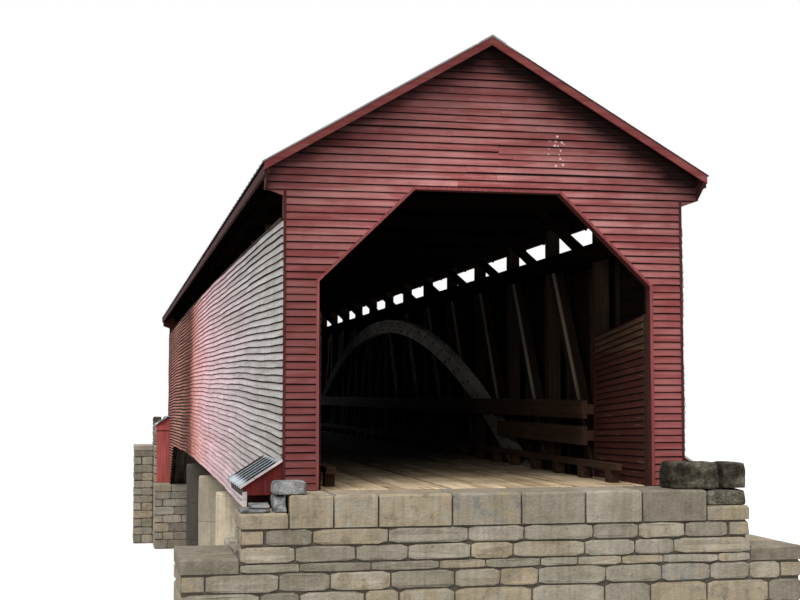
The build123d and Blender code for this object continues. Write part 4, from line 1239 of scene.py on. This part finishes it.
def roughRocks(spans, rng):
    # each loop is a rounded square (sign cos |cos|^0.16, sign sin |sin|^0.16), drawn in at the foot and
    # over the top in steps, then pushed inwards by sums of sines over the rock's surface
    lows, highs = np.moveaxis(np.array(spans, float), 1, 0)
    turn = (np.arange(guard["around"]) + 0.5) * 2 * pi / guard["around"]
    square = np.stack([np.cos(turn), np.sin(turn)], -1)
    square = np.sign(square) * np.abs(square) ** guard["sharp"]
    drawn, up = np.array(guard["steps"]).T
    half, centre = (highs - lows)[:, None, None] / 2, (highs + lows)[:, None, None, :2] / 2
    flat = centre + half[..., :2] * (1 - drawn)[:, None, None] * square
    z = (lows[:, 2, None] + (highs - lows)[:, 2, None] * up)[:, :, None]
    phase = rng.uniform(0, 6.28, (len(lows), 1, 1, 6))
    push = guard["lump"] * sum(w * (1 + np.sin(f * flat[..., 0] + g * flat[..., 1] + h * z + phase[..., i]))
                               for i, (f, g, h, w) in enumerate(guard["waves"])) / 2
    flat = centre + (flat - centre) * (1 - push / half[..., :2].min(-1))[..., None]
    return tubes(gridPoints(flat[..., 0], flat[..., 1], z - push * 0.8 * up[:, None] ** 3))


def guardStones():
    # rough blocks beside the floor's ends: two large ones on the right, a small one and a low
    # slab on the left
    rng = np.random.default_rng(61)
    for name, key, material in (("guard_stone_blocks", "right", guardStone),
                                ("guard_stone_slabs", "left", slabStone)):
        shells, tones = [], []
        for turn in (1, -1):
            points, groups = roughRocks([placed(span) for span in guard[key]], rng)
            shells.append((points * np.array([turn, turn, 1]), groups))
            tones.append(randomTones(rng, shells[-1], len(guard[key])))
        addMesh(name, shells, material, "stone", ["guard_stones"], tone=tones, rise=tones)


guardStones()
print("stones laid")


# stage, light, camera

stage = {"radii": (0.0, 20.0, 40.0, 80.0, 400.0), "around": 96, "z": -0.002, "glow": (16.0, 60.0)}
white = (1, 1, 1, 1)


def paleFloor():
    # rings of quads, point = radius (cos, sin), seen white and lighting the bridge as grey
    turn, n = np.arange(stage["around"]) * 2 * pi / stage["around"], stage["around"]
    radii = np.array(stage["radii"])[:, None]
    points = gridPoints(radii * np.cos(turn), radii * np.sin(turn), stage["z"])
    row, col = np.meshgrid(np.arange(len(radii) - 1), np.arange(n), indexing="ij")
    nextCol = (col + 1) % n
    quads = np.stack([row * n + col, (row + 1) * n + col, (row + 1) * n + nextCol, row * n + nextCol], -1)
    mesh = bpy.data.meshes.new("pale_floor")
    mesh.from_pydata(points.reshape(-1, 3).tolist(), [], quads.reshape(-1, 4).tolist())
    material, coords = startMaterial("pale_floor")
    seen = wires("LightPath")["Is Camera Ray"]
    grey, pale = (0.4, 0.4, 0.4, 1), (0.86, 0.86, 0.86, 1)
    shader = wire("BsdfPrincipled", 0, {"Base Color": coats(grey, (seen, pale)), "Roughness": 0.9})
    far = wire("VectorMath", "Value", {0: coords}, operation="LENGTH")
    glow = wire("Emission", 0, {0: white, 1: 1.0})
    mixed = wire("MixShader", 0, {0: spread(far, *stage["glow"]), 1: shader, 2: glow})
    put("OutputMaterial", {"Surface": mixed})
    mesh.materials.append(material)
    floorPiece = addObject("pale_floor", mesh)


paleFloor()

light = {
    "sky": 1.2, "horizon": 0.16, "skySpan": (-0.1, 0.85),
    # turned by degrees about X and Z, strength, softness in degrees
    "suns": {"key": (32, -34, 2.7, 35), "front": (78, -30, 0.5, 20), "fill": (50, 140, 0.6, 60)},
}


def studioLight():
    world = bpy.data.worlds.new("studio")
    bpy.context.scene.world = world
    world.use_nodes = True
    work["tree"] = world.node_tree
    world.node_tree.nodes.clear()
    path = wires("LightPath")
    seen = larger(path["Is Camera Ray"], larger(path["Is Glossy Ray"], path["Is Transmission Ray"]))
    up = axes(wire("TexCoord", "Generated"))[2]
    lit = wire("Background", 0, {0: white, 1: spread(up, *light["skySpan"], light["horizon"], light["sky"])})
    plain = wire("Background", 0, {0: white, 1: 1.0})
    put("OutputWorld", {"Surface": wire("MixShader", 0, {0: seen, 1: lit, 2: plain})})
    for name, (tilt, turn, strength, soft) in light["suns"].items():
        lamp = bpy.data.lights.new(name, "SUN")
        lamp.energy, lamp.angle = strength, radians(soft)
        addObject(name, lamp).rotation_euler = (radians(tilt), 0, radians(turn))


studioLight()

view = {"location": (-2.928, -21.998, 3.447), "rotation": (radians(93.859), 0, radians(-11.645)),
        "lens": 62.39, "sensor": 36, "farthest": 800}
camera = addObject("camera", bpy.data.cameras.new("camera"))
camera.data.lens, camera.data.sensor_width = view["lens"], view["sensor"]
camera.data.clip_end = view["farthest"]
camera.location, camera.rotation_euler = view["location"], view["rotation"]
bpy.context.scene.camera = camera
bpy.context.scene.view_settings.view_transform = "Standard"
print("stage, light and camera set")
